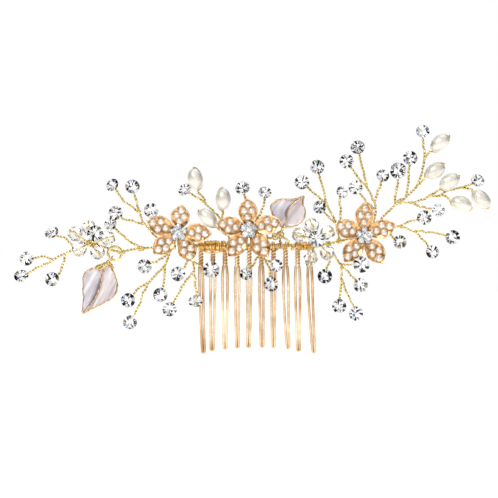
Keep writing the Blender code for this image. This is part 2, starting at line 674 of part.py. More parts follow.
# Leaves: a rim wire and mid-vein, and an enamel sheet folded along the vein
LEAF_LEFT = {
    "left": ((-46.6, -5.1), (-50.4, -6.4), (-53.9, -8.8), (-54.4, -13.4), (-54.3, -17.3), (-54.8, -21.3)),
    "right": ((-46.6, -5.1), (-44.9, -8.2), (-43.7, -12.2), (-44.8, -15.8), (-49.4, -18.6),
              (-54.8, -21.3)),
    "vein": ((-46.6, -5.1), (-48.3, -8.6), (-49.1, -12.5), (-50.4, -15.7), (-52.4, -18.7), (-54.8, -21.3)),
}
LEAF_RIGHT = {
    "left": ((8.1, 5.6), (5.4, 9.4), (4.7, 12.6), (7.2, 14.5), (11.4, 14.5), (14.8, 15.5)),
    "right": ((8.1, 5.6), (11.6, 6.2), (14.4, 8.0), (15.2, 10.4), (14.6, 13.2), (14.8, 15.5)),
    "vein": ((8.1, 5.6), (9.3, 8.0), (9.8, 10.6), (10.9, 12.4), (12.4, 13.8), (14.8, 15.5)),
}


def leaf_curve(layout, which, layer):
    return [place(x, z, layer) for x, z in layout[which]]


def with_base(curve):
    """A leaf's line with one more spot near its base."""
    return [curve[0], curve[0].lerp(curve[1], 0.7), *curve[1:]]


def clear_of_rim(edge, vein_line, index):
    """A spot of the rim moved towards the vein until the enamel there clears the rim's wire."""
    along = (edge[index + 1] - edge[index - 1]).normalized()
    inwards = vein_line[index] - edge[index]
    share = ENAMEL_INSET / inwards.cross(along).length
    return edge[index] + inwards * min(share, 0.6)


def leaf_enamel(name, layout, layer, origin):
    """The folded sheet inside the rim: cross-sections from edge to vein to edge."""
    left, vein_line, right = (with_base(leaf_curve(layout, which, layer))
                              for which in ("left", "vein", "right"))
    half = Vector((0, ENAMEL_THICKNESS / 2, 0))
    rings = []
    for index in range(1, len(vein_line) - 1):
        spots = [clear_of_rim(left, vein_line, index), vein_line[index] + Vector((0, LEAF_FOLD, 0)),
                 clear_of_rim(right, vein_line, index)]
        rings.append([spot - half for spot in spots] + [spot + half for spot in spots[::-1]])
    finished(f"{name}_enamel", loft(rings), ENAMEL, origin=origin)


def leaf_frame(name, layout, layer, extras, origin=Vector((0, 0, 0))):
    left, vein_line, right = (leaf_curve(layout, which, layer) for which in ("left", "vein", "right"))
    outline = smooth(left + right[-2:0:-1], closed=True)
    lift = LEAF_FOLD - ENAMEL_THICKNESS / 2 - RIM_RADIUS * 0.75 - VEIN_CLEARANCE
    ridge = [point + Vector((0, lift, 0)) for point in vein_line[1:-1]]
    vein = tube(smooth([vein_line[0], *ridge, vein_line[-1]]), RIM_RADIUS * 0.75)
    finished(f"{name}_frame", combined([tube(outline, RIM_RADIUS), vein, *extras]), ROSE_GOLD,
             origin=origin)


def left_leaf():
    """Hangs from the jump ring by a bail and swings about the ring's centre."""
    centre = place(*RING_CENTRE, RING_Y)
    base = place(*LEAF_LEFT["vein"][0], RING_Y)
    out = (base - centre).normalized()
    hold = centre + out * RING_RADIUS
    bail_radius = RING_WIRE + RING_PLAY + EYE_WIRE
    around = [hold + (out * math.cos(a) + Vector((0, 1, 0)) * math.sin(a)) * bail_radius
              for a in (math.tau * k / 10 for k in range(10))]
    bail = tube(around, EYE_WIRE, closed=True)
    neck = tube([hold + out * bail_radius, base], EYE_WIRE * 0.9)
    leaf_frame("leaf_left", LEAF_LEFT, RING_Y, [bail, neck], origin=centre)
    leaf_enamel("leaf_left", LEAF_LEFT, RING_Y, centre)


def right_leaf():
    """Stands on its own twisted stem above the bar."""
    layer = VINE_Y - COLLAR_OUTER - 1.4
    base = place(*LEAF_RIGHT["vein"][0], layer)
    root_x = gap_x(6)
    root = from_collar(VINE, root_x, base)
    stem = tube(smooth([root, place(7.6, 3.6, layer + 1.2), base]), STEM_RADIUS)
    leaf_frame("leaf_right", LEAF_RIGHT, layer, [stem, collar(VINE, root_x)])
    leaf_enamel("leaf_right", LEAF_RIGHT, layer, Vector((0, 0, 0)))


comb_bar()
for tooth in range(TEETH):
    comb_tooth(tooth)
binding_wire()
ring_hinge = vine()
jump_ring(ring_hinge)
left_leaf()
right_leaf()
for sprig_name, (collar_x, sprig_stems) in SPRIGS.items():
    on_bar = abs(collar_x - COMB_X) < BAR_END
    sprig(sprig_name, VINE, collar_x if on_bar else collar_x * SCALE, sprig_stems)
sprig(PEARL_SPRIG, main_stem_path(), PEARL_SPRIG_X * SCALE, PEARL_STEMS)
for pearl_number in range(len(PEARLS)):
    pearl(pearl_number)
for flower_name, (middle, petal_directions, wrap_x) in FLOWERS.items():
    flower_middle = place(*middle, FLOWER_Y)
    flower_petals(flower_name, flower_middle, petal_directions)
    flower_centre(flower_name, flower_middle, gap_x(3) if wrap_x is None else wrap_x * SCALE)
for flower_name, (hub_at, stone_at, wrap_x, bead_list) in BEAD_FLOWERS.items():
    bead_flower(flower_name, hub_at, stone_at, wrap_x * SCALE, bead_list)
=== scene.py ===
"""Decorative hair comb: a ten-tooth wire comb that carries a spray of crystal stones, pearls, cut-glass
flowers, pearl-set metal flowers and enamelled leaves on twisted gold wire. Lengths are in millimetres in
the comb's own frame (x along the bar, z up, the decorated face towards -y) until a piece is made.
"""
import json
import math
import random

import bpy
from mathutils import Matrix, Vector, noise


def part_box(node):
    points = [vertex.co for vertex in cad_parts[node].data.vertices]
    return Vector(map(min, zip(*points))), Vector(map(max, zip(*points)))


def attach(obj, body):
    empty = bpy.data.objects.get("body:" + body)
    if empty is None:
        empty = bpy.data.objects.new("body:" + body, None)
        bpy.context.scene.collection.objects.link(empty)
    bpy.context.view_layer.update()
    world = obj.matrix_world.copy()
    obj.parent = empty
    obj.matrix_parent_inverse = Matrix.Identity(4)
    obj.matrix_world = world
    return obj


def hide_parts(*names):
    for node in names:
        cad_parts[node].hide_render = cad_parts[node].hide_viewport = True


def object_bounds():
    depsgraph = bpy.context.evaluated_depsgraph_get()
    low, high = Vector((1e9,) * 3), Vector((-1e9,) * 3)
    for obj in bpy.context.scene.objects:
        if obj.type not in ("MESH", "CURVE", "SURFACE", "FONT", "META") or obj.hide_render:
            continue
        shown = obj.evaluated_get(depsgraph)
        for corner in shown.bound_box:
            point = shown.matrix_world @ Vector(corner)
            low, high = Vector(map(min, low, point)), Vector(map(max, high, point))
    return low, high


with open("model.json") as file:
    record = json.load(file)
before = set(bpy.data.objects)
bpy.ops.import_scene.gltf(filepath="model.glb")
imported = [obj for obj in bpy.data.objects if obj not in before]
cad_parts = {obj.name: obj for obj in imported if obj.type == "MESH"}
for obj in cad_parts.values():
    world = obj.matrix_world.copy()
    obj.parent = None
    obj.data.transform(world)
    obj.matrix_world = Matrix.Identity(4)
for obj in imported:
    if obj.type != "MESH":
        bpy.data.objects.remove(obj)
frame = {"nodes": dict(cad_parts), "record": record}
cad_low, cad_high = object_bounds()

# Studio: a white surround with a few dark cards between its soft boxes, which metal and cut stones need
# to sparkle, a pale floor well below the comb, and two large soft lamps.
scene = bpy.context.scene
scene.view_settings.view_transform = "Standard"


def srgb(code):
    """The linear colour of an sRGB hex code."""
    parts = [int(code[k:k + 2], 16) / 255 for k in (1, 3, 5)]
    return (*(c / 12.92 if c <= 0.04045 else ((c + 0.055) / 1.055) ** 2.4 for c in parts), 1.0)


def node(tree, kind, inputs, stops=(), **settings):
    """Adds a node with its settings, its socket values or links, and its colour stops."""
    made = tree.nodes.new(kind)
    for name, value in settings.items():
        setattr(made, name, value)
    for name, value in inputs.items():
        if isinstance(value, bpy.types.NodeSocket):
            tree.links.new(value, made.inputs[name])
        else:
            made.inputs[name].default_value = value
    for number, (place, colour) in enumerate(stops):
        ramp = made.color_ramp.elements
        stop = ramp[number] if number < 2 else ramp.new(place)
        stop.position = place
        stop.color = srgb(colour)
    return made


CARD_SPREAD = 3.1  # how closely the dark cards stand round the comb
SURROUND_STRENGTH = 0.9
studio = bpy.data.worlds.new("studio")
scene.world = studio
studio.use_nodes = True
sky = studio.node_tree
sky.nodes.clear()
heading = node(sky, "ShaderNodeTexCoord", {})
cards = node(sky, "ShaderNodeTexNoise", {"Vector": heading.outputs["Generated"], "Scale": CARD_SPREAD,
                                         "Detail": 0.0})
levels = node(sky, "ShaderNodeValToRGB", {"Fac": cards.outputs["Fac"]},
              stops=((0.38, "#101012"), (0.41, "#E4E4E4"), (0.6, "#FFFFFF")))
sides = node(sky, "ShaderNodeSeparateXYZ", {"Vector": heading.outputs["Generated"]})
aside = node(sky, "ShaderNodeMath", {0: sides.outputs["X"]}, operation="ABSOLUTE")
flags = node(sky, "ShaderNodeValToRGB", {"Fac": aside.outputs["Value"]},
             stops=((0.68, "#FFFFFF"), (0.82, "#444448")))
shaded = node(sky, "ShaderNodeMix", {0: 1.0, 6: levels.outputs["Color"], 7: flags.outputs["Color"]},
              data_type="RGBA", blend_type="MULTIPLY")
surround = node(sky, "ShaderNodeBackground", {"Color": shaded.outputs[2], "Strength": SURROUND_STRENGTH})
backdrop = node(sky, "ShaderNodeBackground", {"Color": (1, 1, 1, 1), "Strength": 1.0})
path_kind = node(sky, "ShaderNodeLightPath", {})
seen = node(sky, "ShaderNodeMixShader", {0: path_kind.outputs["Is Camera Ray"],
                                         1: surround.outputs[0], 2: backdrop.outputs[0]})
node(sky, "ShaderNodeOutputWorld", {"Surface": seen.outputs[0]})

FLOOR_DROP = 0.045
FLOOR_SIZE = 6.0
floor_mesh = bpy.data.meshes.new("floor")
corner = FLOOR_SIZE / 2
floor_mesh.from_pydata([(x, y, 0) for x, y in ((-corner, -corner), (corner, -corner), (corner, corner),
                                               (-corner, corner))], [], [(0, 1, 2, 3)])
floor = bpy.data.objects.new("floor", floor_mesh)
floor.location.z = cad_low.z - FLOOR_DROP
scene.collection.objects.link(floor)


def finish(name, **sockets):
    """A new material with its shader's plain values set: itself, its nodes, its shader, its own place."""
    made = bpy.data.materials.new(name)
    made.use_nodes = True
    tree = made.node_tree
    shader = tree.nodes["Principled BSDF"]
    for socket, value in sockets.items():
        shader.inputs[socket.replace("_", " ")].default_value = value
    return made, tree, shader, node(tree, "ShaderNodeTexCoord", {}).outputs["Object"]


# Opal acrylic, lit from below: an even matt white, faintly cloudy.
acrylic, tree, shader, _ = finish("lit_opal_acrylic", Roughness=1.0, Specular_IOR_Level=0.0,
                                  Emission_Color=(1, 1, 1, 1), Emission_Strength=0.6)
cloudy = node(tree, "ShaderNodeTexNoise", {"Scale": 40.0})
tone = node(tree, "ShaderNodeValToRGB", {"Fac": cloudy.outputs["Fac"]},
            stops=((0.3, "#FAFAFA"), (0.7, "#FFFFFF")))
tree.links.new(tone.outputs["Color"], shader.inputs["Base Color"])
floor_mesh.materials.append(acrylic)

# Each soft box: its place, its side and its watts.
LAMPS = {"key_box": ((-0.5, -0.9, 0.8), 0.5, 6.0), "top_box": ((0.2, 0.1, 1.3), 1.0, 3.0)}
for lamp_name, (spot, side, watts) in LAMPS.items():
    lamp_data = bpy.data.lights.new(lamp_name, "AREA")
    lamp_data.size = side
    lamp_data.energy = watts
    lamp = bpy.data.objects.new(lamp_name, lamp_data)
    lamp.location = spot
    lamp.rotation_mode = "QUATERNION"
    lamp.rotation_quaternion = (-Vector(spot)).to_track_quat("-Z", "Y")
    scene.collection.objects.link(lamp)

# Camera: straight in front of the comb, from far enough away that nothing tapers.
VIEW_WIDTH = 0.1556
AIM_OFFSET = Vector((-0.001, -0.002, -0.0029))  # from the middle of the comb's box to what it looks at
camera_data = bpy.data.cameras.new("camera")
camera_data.lens = 150
camera = bpy.data.objects.new("camera", camera_data)
distance = VIEW_WIDTH * camera_data.lens / camera_data.sensor_width
camera.location = (cad_low + cad_high) / 2 + AIM_OFFSET - Vector((0, distance, 0))
camera.rotation_euler = (math.pi / 2, 0, 0)
scene.collection.objects.link(camera)
scene.camera = camera

# Comb bar: rose-gold-plated steel wire, drawn and bright, which shows as peach with pale highlights. It
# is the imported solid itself, and it carries everything else.
MM = 0.001
DRAWING_MARKS = 0.12


def pattern(size):
    """The scale of a pattern that is size millimetres across."""
    return 1000 / size


def plated_metal(name, worn, bright, roughness, patch):
    """Electroplated wire or sheet: patches of thicker and thinner plating, and fine drawing marks."""
    made, tree, shader, here = finish(name, Metallic=1.0)
    plating = node(tree, "ShaderNodeTexNoise", {"Vector": here, "Scale": pattern(patch), "Detail": 3.0})
    colour = node(tree, "ShaderNodeValToRGB", {"Fac": plating.outputs["Fac"]},
                  stops=((0.32, worn), (0.66, bright)))
    marks = node(tree, "ShaderNodeTexNoise", {"Vector": here, "Scale": pattern(DRAWING_MARKS)})
    relief = node(tree, "ShaderNodeBump", {"Height": marks.outputs["Fac"], "Strength": 0.25,
                                           "Distance": 0.00002})
    dulling = node(tree, "ShaderNodeMapRange", {"Value": plating.outputs["Fac"],
                                                "To Min": roughness + 0.08, "To Max": roughness - 0.06})
    tree.links.new(colour.outputs["Color"], shader.inputs["Base Color"])
    tree.links.new(dulling.outputs["Result"], shader.inputs["Roughness"])
    tree.links.new(relief.outputs["Normal"], shader.inputs["Normal"])
    return made


rose_gold_wire = plated_metal("rose_gold_plated_wire", "#BF986A", "#EDD7B4", 0.26, 7.0)
comb_bar = frame["nodes"]["comb_bar"]
comb_bar.material_slots[0].material = rose_gold_wire

# Teeth: ten hairpins bent from the bar's own wire. The top of each is twisted into a short rope, below
# it the two strands run side by side to a round tip, and the row curves back towards the head.
TEETH = 10
TOOTH_PITCH = 3.8
COMB_X = -0.3
TOOTH_WIRE = 0.44
TOOTH_BEND = 2.5
TOOTH_TOP = 0.7  # how far below the bar's middle the wire starts
ROPE_LENGTH = 6.4
ROPE_TURNS = 3.25
PARTING = 5.0  # the strands part over this length
CLOSING = 0.45  # and close up again from this share of the tooth
TOOTH_LEANS = (0.8, -0.3, 0.0, 0.1, -0.2, 0.3, 0.0, 0.9, 0.4, 1.5)
TOOTH_BOWS = (0.58, 0.68, 0.78, 0.62, 0.58, 0.62, 0.55, 0.78, 0.74, 0.7)
HEAD_SWEEP = 8.0
HALF_SPRAY = 75.0


def sweep(x):
    """How far back towards the head the spray curves at x."""
    return HEAD_SWEEP * (x / HALF_SPRAY) ** 2


def travelling(path, closed=False):
    """Each point of a path with two directions square to it that don't spin along it."""
    side = None
    count = len(path)
    result = []
    for number, point in enumerate(path):
        before = path[number - 1] if closed or number else point
        after = path[(number + 1) % count] if closed or number + 1 < count else point
        along = (after - before).normalized()
        side = along.orthogonal() if side is None else side
        side = (side - along * side.dot(along)).normalized()
        result.append((point, side, along.cross(side)))
    return result


def circle(count, shift=0.0):
    """Angles equally spaced round a circle."""
    return [math.tau * (k + shift) / count for k in range(count)]


def skin(rings, closed=False):
    """A closed skin over equal rings of points: its corners and its faces."""
    size, count = len(rings[0]), len(rings)
    corners = [point for ring in rings for point in ring]
    faces = []
    for number in range(count if closed else count - 1):
        near, far = number * size, (number + 1) % count * size
        faces += [(near + s, near + (s + 1) % size, far + (s + 1) % size, far + s) for s in range(size)]
    if not closed:
        faces += [tuple(range(size))[::-1], tuple(range(len(corners) - size, len(corners)))]
    return corners, faces


def wire(path, radius, sides=8, closed=False):
    """A round wire along a path."""
    return skin([[point + (side * math.cos(a) + up * math.sin(a)) * radius for a in circle(sides)]
                 for point, side, up in travelling(path, closed)], closed)


def piece(name, shapes, look, body="comb", replaced=(), crease=None):
    """Makes one piece from shapes in millimetres, rides it on its body and hides the parts it stands in
    for.
    """
    corners, faces, kinds = [], [], []
    for shape in shapes:
        start = len(corners)
        corners += [point * MM for point in shape[0]]
        faces += [tuple(start + k for k in face) for face in shape[1]]
        kinds += shape[2] if len(shape) > 2 else [0] * len(shape[1])
    mesh = bpy.data.meshes.new(name)
    mesh.from_pydata(corners, [], faces)
    mesh.polygons.foreach_set("material_index", kinds)
    for material in look if isinstance(look, tuple) else (look,):
        mesh.materials.append(material)
    if crease is not None:
        mesh.shade_smooth()
        mesh.set_sharp_from_angle(angle=math.radians(crease))
    made = bpy.data.objects.new(name, mesh)
    scene.collection.objects.link(made)
    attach(made, body)
    if replaced:
        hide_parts(*replaced)
    return made


def tooth_wire(number):
    """One hairpin's wire, down its left strand, round the tip and up its right strand."""
    length = -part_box(f"comb_tooth_{number + 1:02d}")[0].z / MM
    root = COMB_X + (number - (TEETH - 1) / 2) * TOOTH_PITCH
    bottom = length - 2 * TOOTH_WIRE

    def spot(drop, side):
        share = drop / length
        turn = ROPE_TURNS * math.tau * max(0.0, 1 - drop / ROPE_LENGTH)
        open_share = min(1.0, max(0.0, (drop - ROPE_LENGTH * 0.9) / PARTING))
        bow = TOOTH_WIRE + (TOOTH_BOWS[number] - TOOTH_WIRE) * math.sin(open_share * math.pi / 2)
        bow += (TOOTH_WIRE * 0.96 - bow) * max(0.0, share - CLOSING) / (1 - CLOSING)
        across = TOOTH_LEANS[number] * share ** 2 + side * bow * math.cos(turn)
        back = TOOTH_BEND * share ** 2 + side * bow * math.sin(turn)
        return Vector((root + across, sweep(root) + back, -drop))

    steps = round((bottom - TOOTH_TOP) / 0.3)
    drops = [TOOTH_TOP + (bottom - TOOTH_TOP) * k / steps for k in range(steps + 1)]
    down = [spot(drop, -1) for drop in drops]
    up = [spot(drop, 1) for drop in drops[::-1]]
    middle, reach = (down[-1] + up[0]) / 2, (up[0] - down[-1]).length / 2
    tip = [middle + Vector((-reach * math.cos(a), 0, -reach * math.sin(a)))
           for a in (math.pi * k / 8 for k in range(1, 8))]
    return down + tip + up


for tooth in range(TEETH):
    piece(f"tooth_{tooth + 1:02d}", [wire(tooth_wire(tooth), TOOTH_WIRE, 10)], rose_gold_wire,
          replaced=[f"comb_tooth_{tooth + 1:02d}"], crease=60)

# Vine: two fine gold-plated brass wires twisted together, the spray's backbone along the bar's front.
# The twist shows as small bright lumps on pale yellow gold. A small eye on it holds the jump ring.
VINE_STRAND = 0.23
VINE_LAY = 2.2
STRAND = 0.21
LAY = 2.1
VINE_Y, STEM_Y, CUP_Y, RING_Y = -1.89, -1.99, -2.19, -3.26  # layers of the spray, back to front
VINE_LAYOUT = ((-56.6, 0.9), (-52.2, 0.7), (-48.0, -0.2), (-44.0, -1.6), (-40.5, -1.4), (-37.0, -0.8),
               (-32.0, -0.5), (-26.0, -0.2), (-18.0, 0.0), (-9.0, 0.1), (0.0, 0.0), (9.0, 0.0), (17.0, 0.1),
               (22.4, 0.7), (26.0, 1.5), (30.0, 2.4), (34.0, 3.2), (38.0, 4.4), (40.3, 5.2))


def on_sheet(x, z, layer=STEM_Y):
    """A point of the spray's gently curved sheet, in a layer of it."""
    return Vector((x, layer + sweep(x), z))


def smooth(points, step=0.19):
    """Points a step apart along a curve through the given ones."""
    last = len(points) - 1
    result = []
    for number in range(last):
        before, start = points[max(number - 1, 0)], points[number]
        end, after = points[number + 1], points[min(number + 2, last)]
        pieces = max(1, round((end - start).length / step))
        for k in range(pieces):
            t = k / pieces
            result.append(0.5 * (2 * start + (end - before) * t
                                 + (2 * before - 5 * start + 4 * end - after) * t ** 2
                                 + (3 * start - before - 3 * end + after) * t ** 3))
    return result + [points[-1]]


def twisted(path, strand=STRAND, lay=LAY):
    """Two wires twisted round each other along a path: one turn takes a lay."""
    walked, first, second = 0.0, [], []
    previous = path[0]
    for point, side, up in travelling(path):
        walked += (point - previous).length
        previous = point
        angle = math.tau * walked / lay
        off = (side * math.cos(angle) + up * math.sin(angle)) * strand
        first.append(point + off)
        second.append(point - off)
    return [wire(first, strand, 6), wire(second, strand, 6)]


gold_wire = plated_metal("gold_plated_brass_wire", "#CAAC5C", "#F6E8B0", 0.2, 1.6)
vine_path = smooth([on_sheet(x, z, VINE_Y) for x, z in VINE_LAYOUT])
joints = {joint["name"]: joint for joint in frame["record"]["behaviour"]["joints"]}
ring_hinge = Vector(joints["ring_turn"]["pos_m"]) / MM
EYE_RADIUS = 0.95
EYE_WIRE = 0.28
eye_ring = [ring_hinge + Vector((math.cos(a), math.sin(a), 0)) * EYE_RADIUS for a in circle(20)]
eye_stub = [ring_hinge + Vector((0, EYE_RADIUS, 0)), on_sheet(ring_hinge.x, -1.5, VINE_Y)]
eye = [wire(eye_ring, EYE_WIRE, closed=True), wire(eye_stub, EYE_WIRE)]
piece("vine", twisted(vine_path, VINE_STRAND, VINE_LAY) + eye, gold_wire,
      replaced=["vine_wire"], crease=60)

# Binding: fine brass wire wound round the bar and the vine, close at both ends and open in the middle,
# and crossed back over itself at the left. Its plating is a deeper, more orange gold than the vine's.
deep_gold_wire = plated_metal("deep_gold_plated_wire", "#BE8434", "#F8D488", 0.2, 0.9)
BINDING_WIRE = 0.25
binding_low, binding_high = (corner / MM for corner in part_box("bar_binding_wire"))
binding_middle = (binding_low.y + binding_high.y) / 2 - sweep(0)
BINDING_DEEP = 2.2
BINDING_TALL = 1.5
TURN_POINTS = 20
WINDINGS = (  # from and to along the bar, pitch, height, where the first turn starts, waver
    (-18.2, -8.8, 0.66, BINDING_TALL, 0.0, 0.14),
    (-9.4, -17.6, 1.5, BINDING_TALL + 0.1, 1.0, 0.6),
    (-17.0, -10.0, 3.1, BINDING_TALL + 0.18, 2.0, 0.9),
    (-8.8, 12.8, 1.5, BINDING_TALL * 0.86, 0.5, 0.5),
    (12.8, 17.9, 0.6, BINDING_TALL * 0.84, 0.0, 0.1),
)
LOOSE_LOOP = ((-16.6, -2.6, -1.4), (-15.2, -2.9, -2.1), (-12.8, -2.9, -2.2), (-10.8, -2.8, -1.7),
              (-9.9, -2.6, -0.8))


def binding(start, end, pitch, tall, phase, waver):
    """Turns of wire round the bar and the vine, with a little waver from the hand that wound them."""
    path = []
    steps = round(abs(end - start) / pitch * TURN_POINTS)
    for k in range(steps + 1):
        share = k / steps
        angle = math.tau * k / TURN_POINTS + phase
        x = start + (end - start) * share + waver * math.sin(angle * 0.37)
        path.append(Vector((x, sweep(x) + binding_middle + BINDING_DEEP * math.sin(angle),
                            tall * math.cos(angle))))
    return wire(path, BINDING_WIRE, 6)


windings = [binding(*winding) for winding in WINDINGS]
windings.append(wire(smooth([Vector(place) for place in LOOSE_LOOP], 0.3), 0.2, 6))
piece("bar_binding", windings, deep_gold_wire, replaced=["bar_binding_wire"], crease=60)

# Stems and stones: each sprig is a pair of fine gold wires twisted into branches, tied to the vine by
# a few close turns. Cut-glass stones with foiled backs sit in plain gold cups on the tips.
CUP_DEPTH = 1.4
COLLAR_RADIUS = 0.77
COLLAR_TURNS = 4
COLLAR_PITCH = 0.42
COLLAR_POINTS = 14
STONE = 4.6
# Painted reflections: each foil's facets are painted black, grey, white, blue or amber in place of what
# they would reflect, and most foils also glow.
FOILS_WITH_PAINTED_LIGHT = {  # dark and light tone, how metallic, and a painted glow: emission standing in for light that comes back out of the stone
    "silver_foil_painted_glow": ("#D6D6D6", "#FFFFFF", 0.4, 0.3),
    "painted_shade_foil": ("#161617", "#3C3C3E", 0.9, 0.0),
    "grey_foil_painted_reflection_glow": ("#909090", "#C8C8C6", 0.6, 0.1),
    "painted_blue_glint": ("#7F9BEA", "#B9C8FA", 0.5, 0.2),
    "painted_amber_glint": ("#D9B07A", "#F3DCC2", 0.5, 0.2),
}


def foiled_crystal():
    """Cut glass: a clear crown whose facets bend the light only a little, and the foils behind it, painted
    black, white and now and then a blue or amber glint as painted reflections, most of them with a painted
    glow."""
    crown, tree, shader, here = finish("clear_cut_glass", Transmission_Weight=1.0, Roughness=0.0, IOR=1.3)
    cloud = node(tree, "ShaderNodeTexNoise", {"Vector": here, "Scale": pattern(3.0)})
    tint = node(tree, "ShaderNodeValToRGB", {"Fac": cloud.outputs["Fac"]},
                stops=((0.3, "#FBFBFB"), (0.7, "#FFFFFF")))
    tree.links.new(tint.outputs["Color"], shader.inputs["Base Color"])
    foils = []
    for name, (dark, light, shine, glow) in FOILS_WITH_PAINTED_LIGHT.items():
        # Painted glow: each facet's painted tone is also given out as emission.
        foil, tree, shader, here = finish(name, Metallic=shine, Roughness=0.12, Emission_Strength=glow)
        facets = node(tree, "ShaderNodeTexVoronoi", {"Vector": here, "Scale": pattern(0.8)})
        glint = node(tree, "ShaderNodeSeparateColor", {"Color": facets.outputs["Color"]})
        shades = node(tree, "ShaderNodeValToRGB", {"Fac": glint.outputs["Red"]},
                      stops=((0.3, dark), (0.7, light)))
        tree.links.new(shades.outputs["Color"], shader.inputs["Base Color"])
        tree.links.new(shades.outputs["Color"], shader.inputs["Emission Color"])
        foils.append(foil)
    return (crown, *foils)


crystal = foiled_crystal()


def turned(profile, centre, axis, sides=16, bored=False):
    """A turned shape from (radius, height) pairs: a bored one is a closed section."""
    turn = axis.normalized().to_track_quat("Z", "Y").to_matrix()
    return skin([[centre + turn @ Vector((r * math.cos(a), r * math.sin(a), h)) for a in circle(sides, 0.5)]
                 for r, h in profile], bored)


chance = random.Random(7)
# A stone's rings of corners, from its table to its back: how many, reach, height (in radii) and turn.
CUT = ((8, 0.58, 0.24, 0), (8, 0.82, 0.15, 0.5), (16, 1.0, 0, 0), (16, 0.52, -0.24, 0.5))
CULET = -0.4
OUTER_ODDS, INNER_ODDS = (48, 32, 17, 1, 2), (74, 11, 13, 1, 1)  # of each painted foil tone, on the back's facets


def cut_stone(girdle, radius, facing, turn_by):
    """A brilliant-cut stone: a clear crown of eight sides, and sixteen foiled ones below the girdle."""
    face = facing.normalized().to_track_quat("Z", "Y").to_matrix()
    corners = []
    for count, reach, height, turn in CUT:
        for a in circle(count, turn):
            out = Vector((math.cos(a + turn_by) * reach, math.sin(a + turn_by) * reach, height))
            corners.append(girdle + face @ (out * radius))
    culet = len(corners)
    corners.append(girdle + face @ Vector((0, 0, CULET * radius)))
    faces, kinds = [tuple(range(8))], [0]
    for k in range(8):
        after, low, top = (k + 1) % 8, 16 + 2 * k, 16 + (2 * k + 2) % 16
        faces += [(k, 8 + k, after), (k, low, 8 + k), (8 + k, top, after), (8 + k, low, low + 1),
                  (8 + k, low + 1, top)]
        kinds += [0] * 5
    for k in range(16):
        low, after = 16 + k, 16 + (k + 1) % 16
        deep, past = 32 + k, 32 + (k + 1) % 16
        faces += [(low, deep, after), (after, deep, past), (deep, culet, past)]
        kinds += chance.choices((1, 2, 3, 4, 5), OUTER_ODDS, k=2)
        kinds += chance.choices((1, 2, 3, 4, 5), INNER_ODDS, k=1)
    return corners, faces, kinds


def cup(back, radius, facing):
    """A plain pressed cup: a cone with a thin rolled lip just under the stone's girdle."""
    section = ((0.02, 0), (radius * 0.5, 0), (radius * 0.66, 0.3), (radius * 0.96, CUP_DEPTH - 0.18),
               (radius * 0.97, CUP_DEPTH - 0.1), (radius * 0.93, CUP_DEPTH - 0.12), (radius * 0.5, 0.42),
               (0.02, 0.36))
    return turned(section, back, facing, 20)


def collar(path, x):
    """The close turns that tie a sprig to a wire at x."""
    near = min(range(1, len(path) - 1), key=lambda k: abs(path[k].x - x))
    along = (path[near + 1] - path[near - 1]).normalized()
    side = along.orthogonal().normalized()
    up = along.cross(side)
    turns = []
    steps = COLLAR_TURNS * COLLAR_POINTS
    for k in range(steps + 1):
        angle = math.tau * k / COLLAR_POINTS
        shift = (k / steps - 0.5) * COLLAR_TURNS * COLLAR_PITCH
        out = side * math.cos(angle) + up * math.sin(angle)
        turns.append(path[near] + along * shift + out * COLLAR_RADIUS)
    return wire(turns, STRAND, 6)


def stone(x, z, diameter=STONE, forward=0.0, lean=(0.0, 0.0)):
    """A stone on a tip: where, how wide, how far it stands forward and how it leans (right, up)."""
    return {"x": x, "z": z, "diameter": diameter, "forward": forward, "lean": lean}


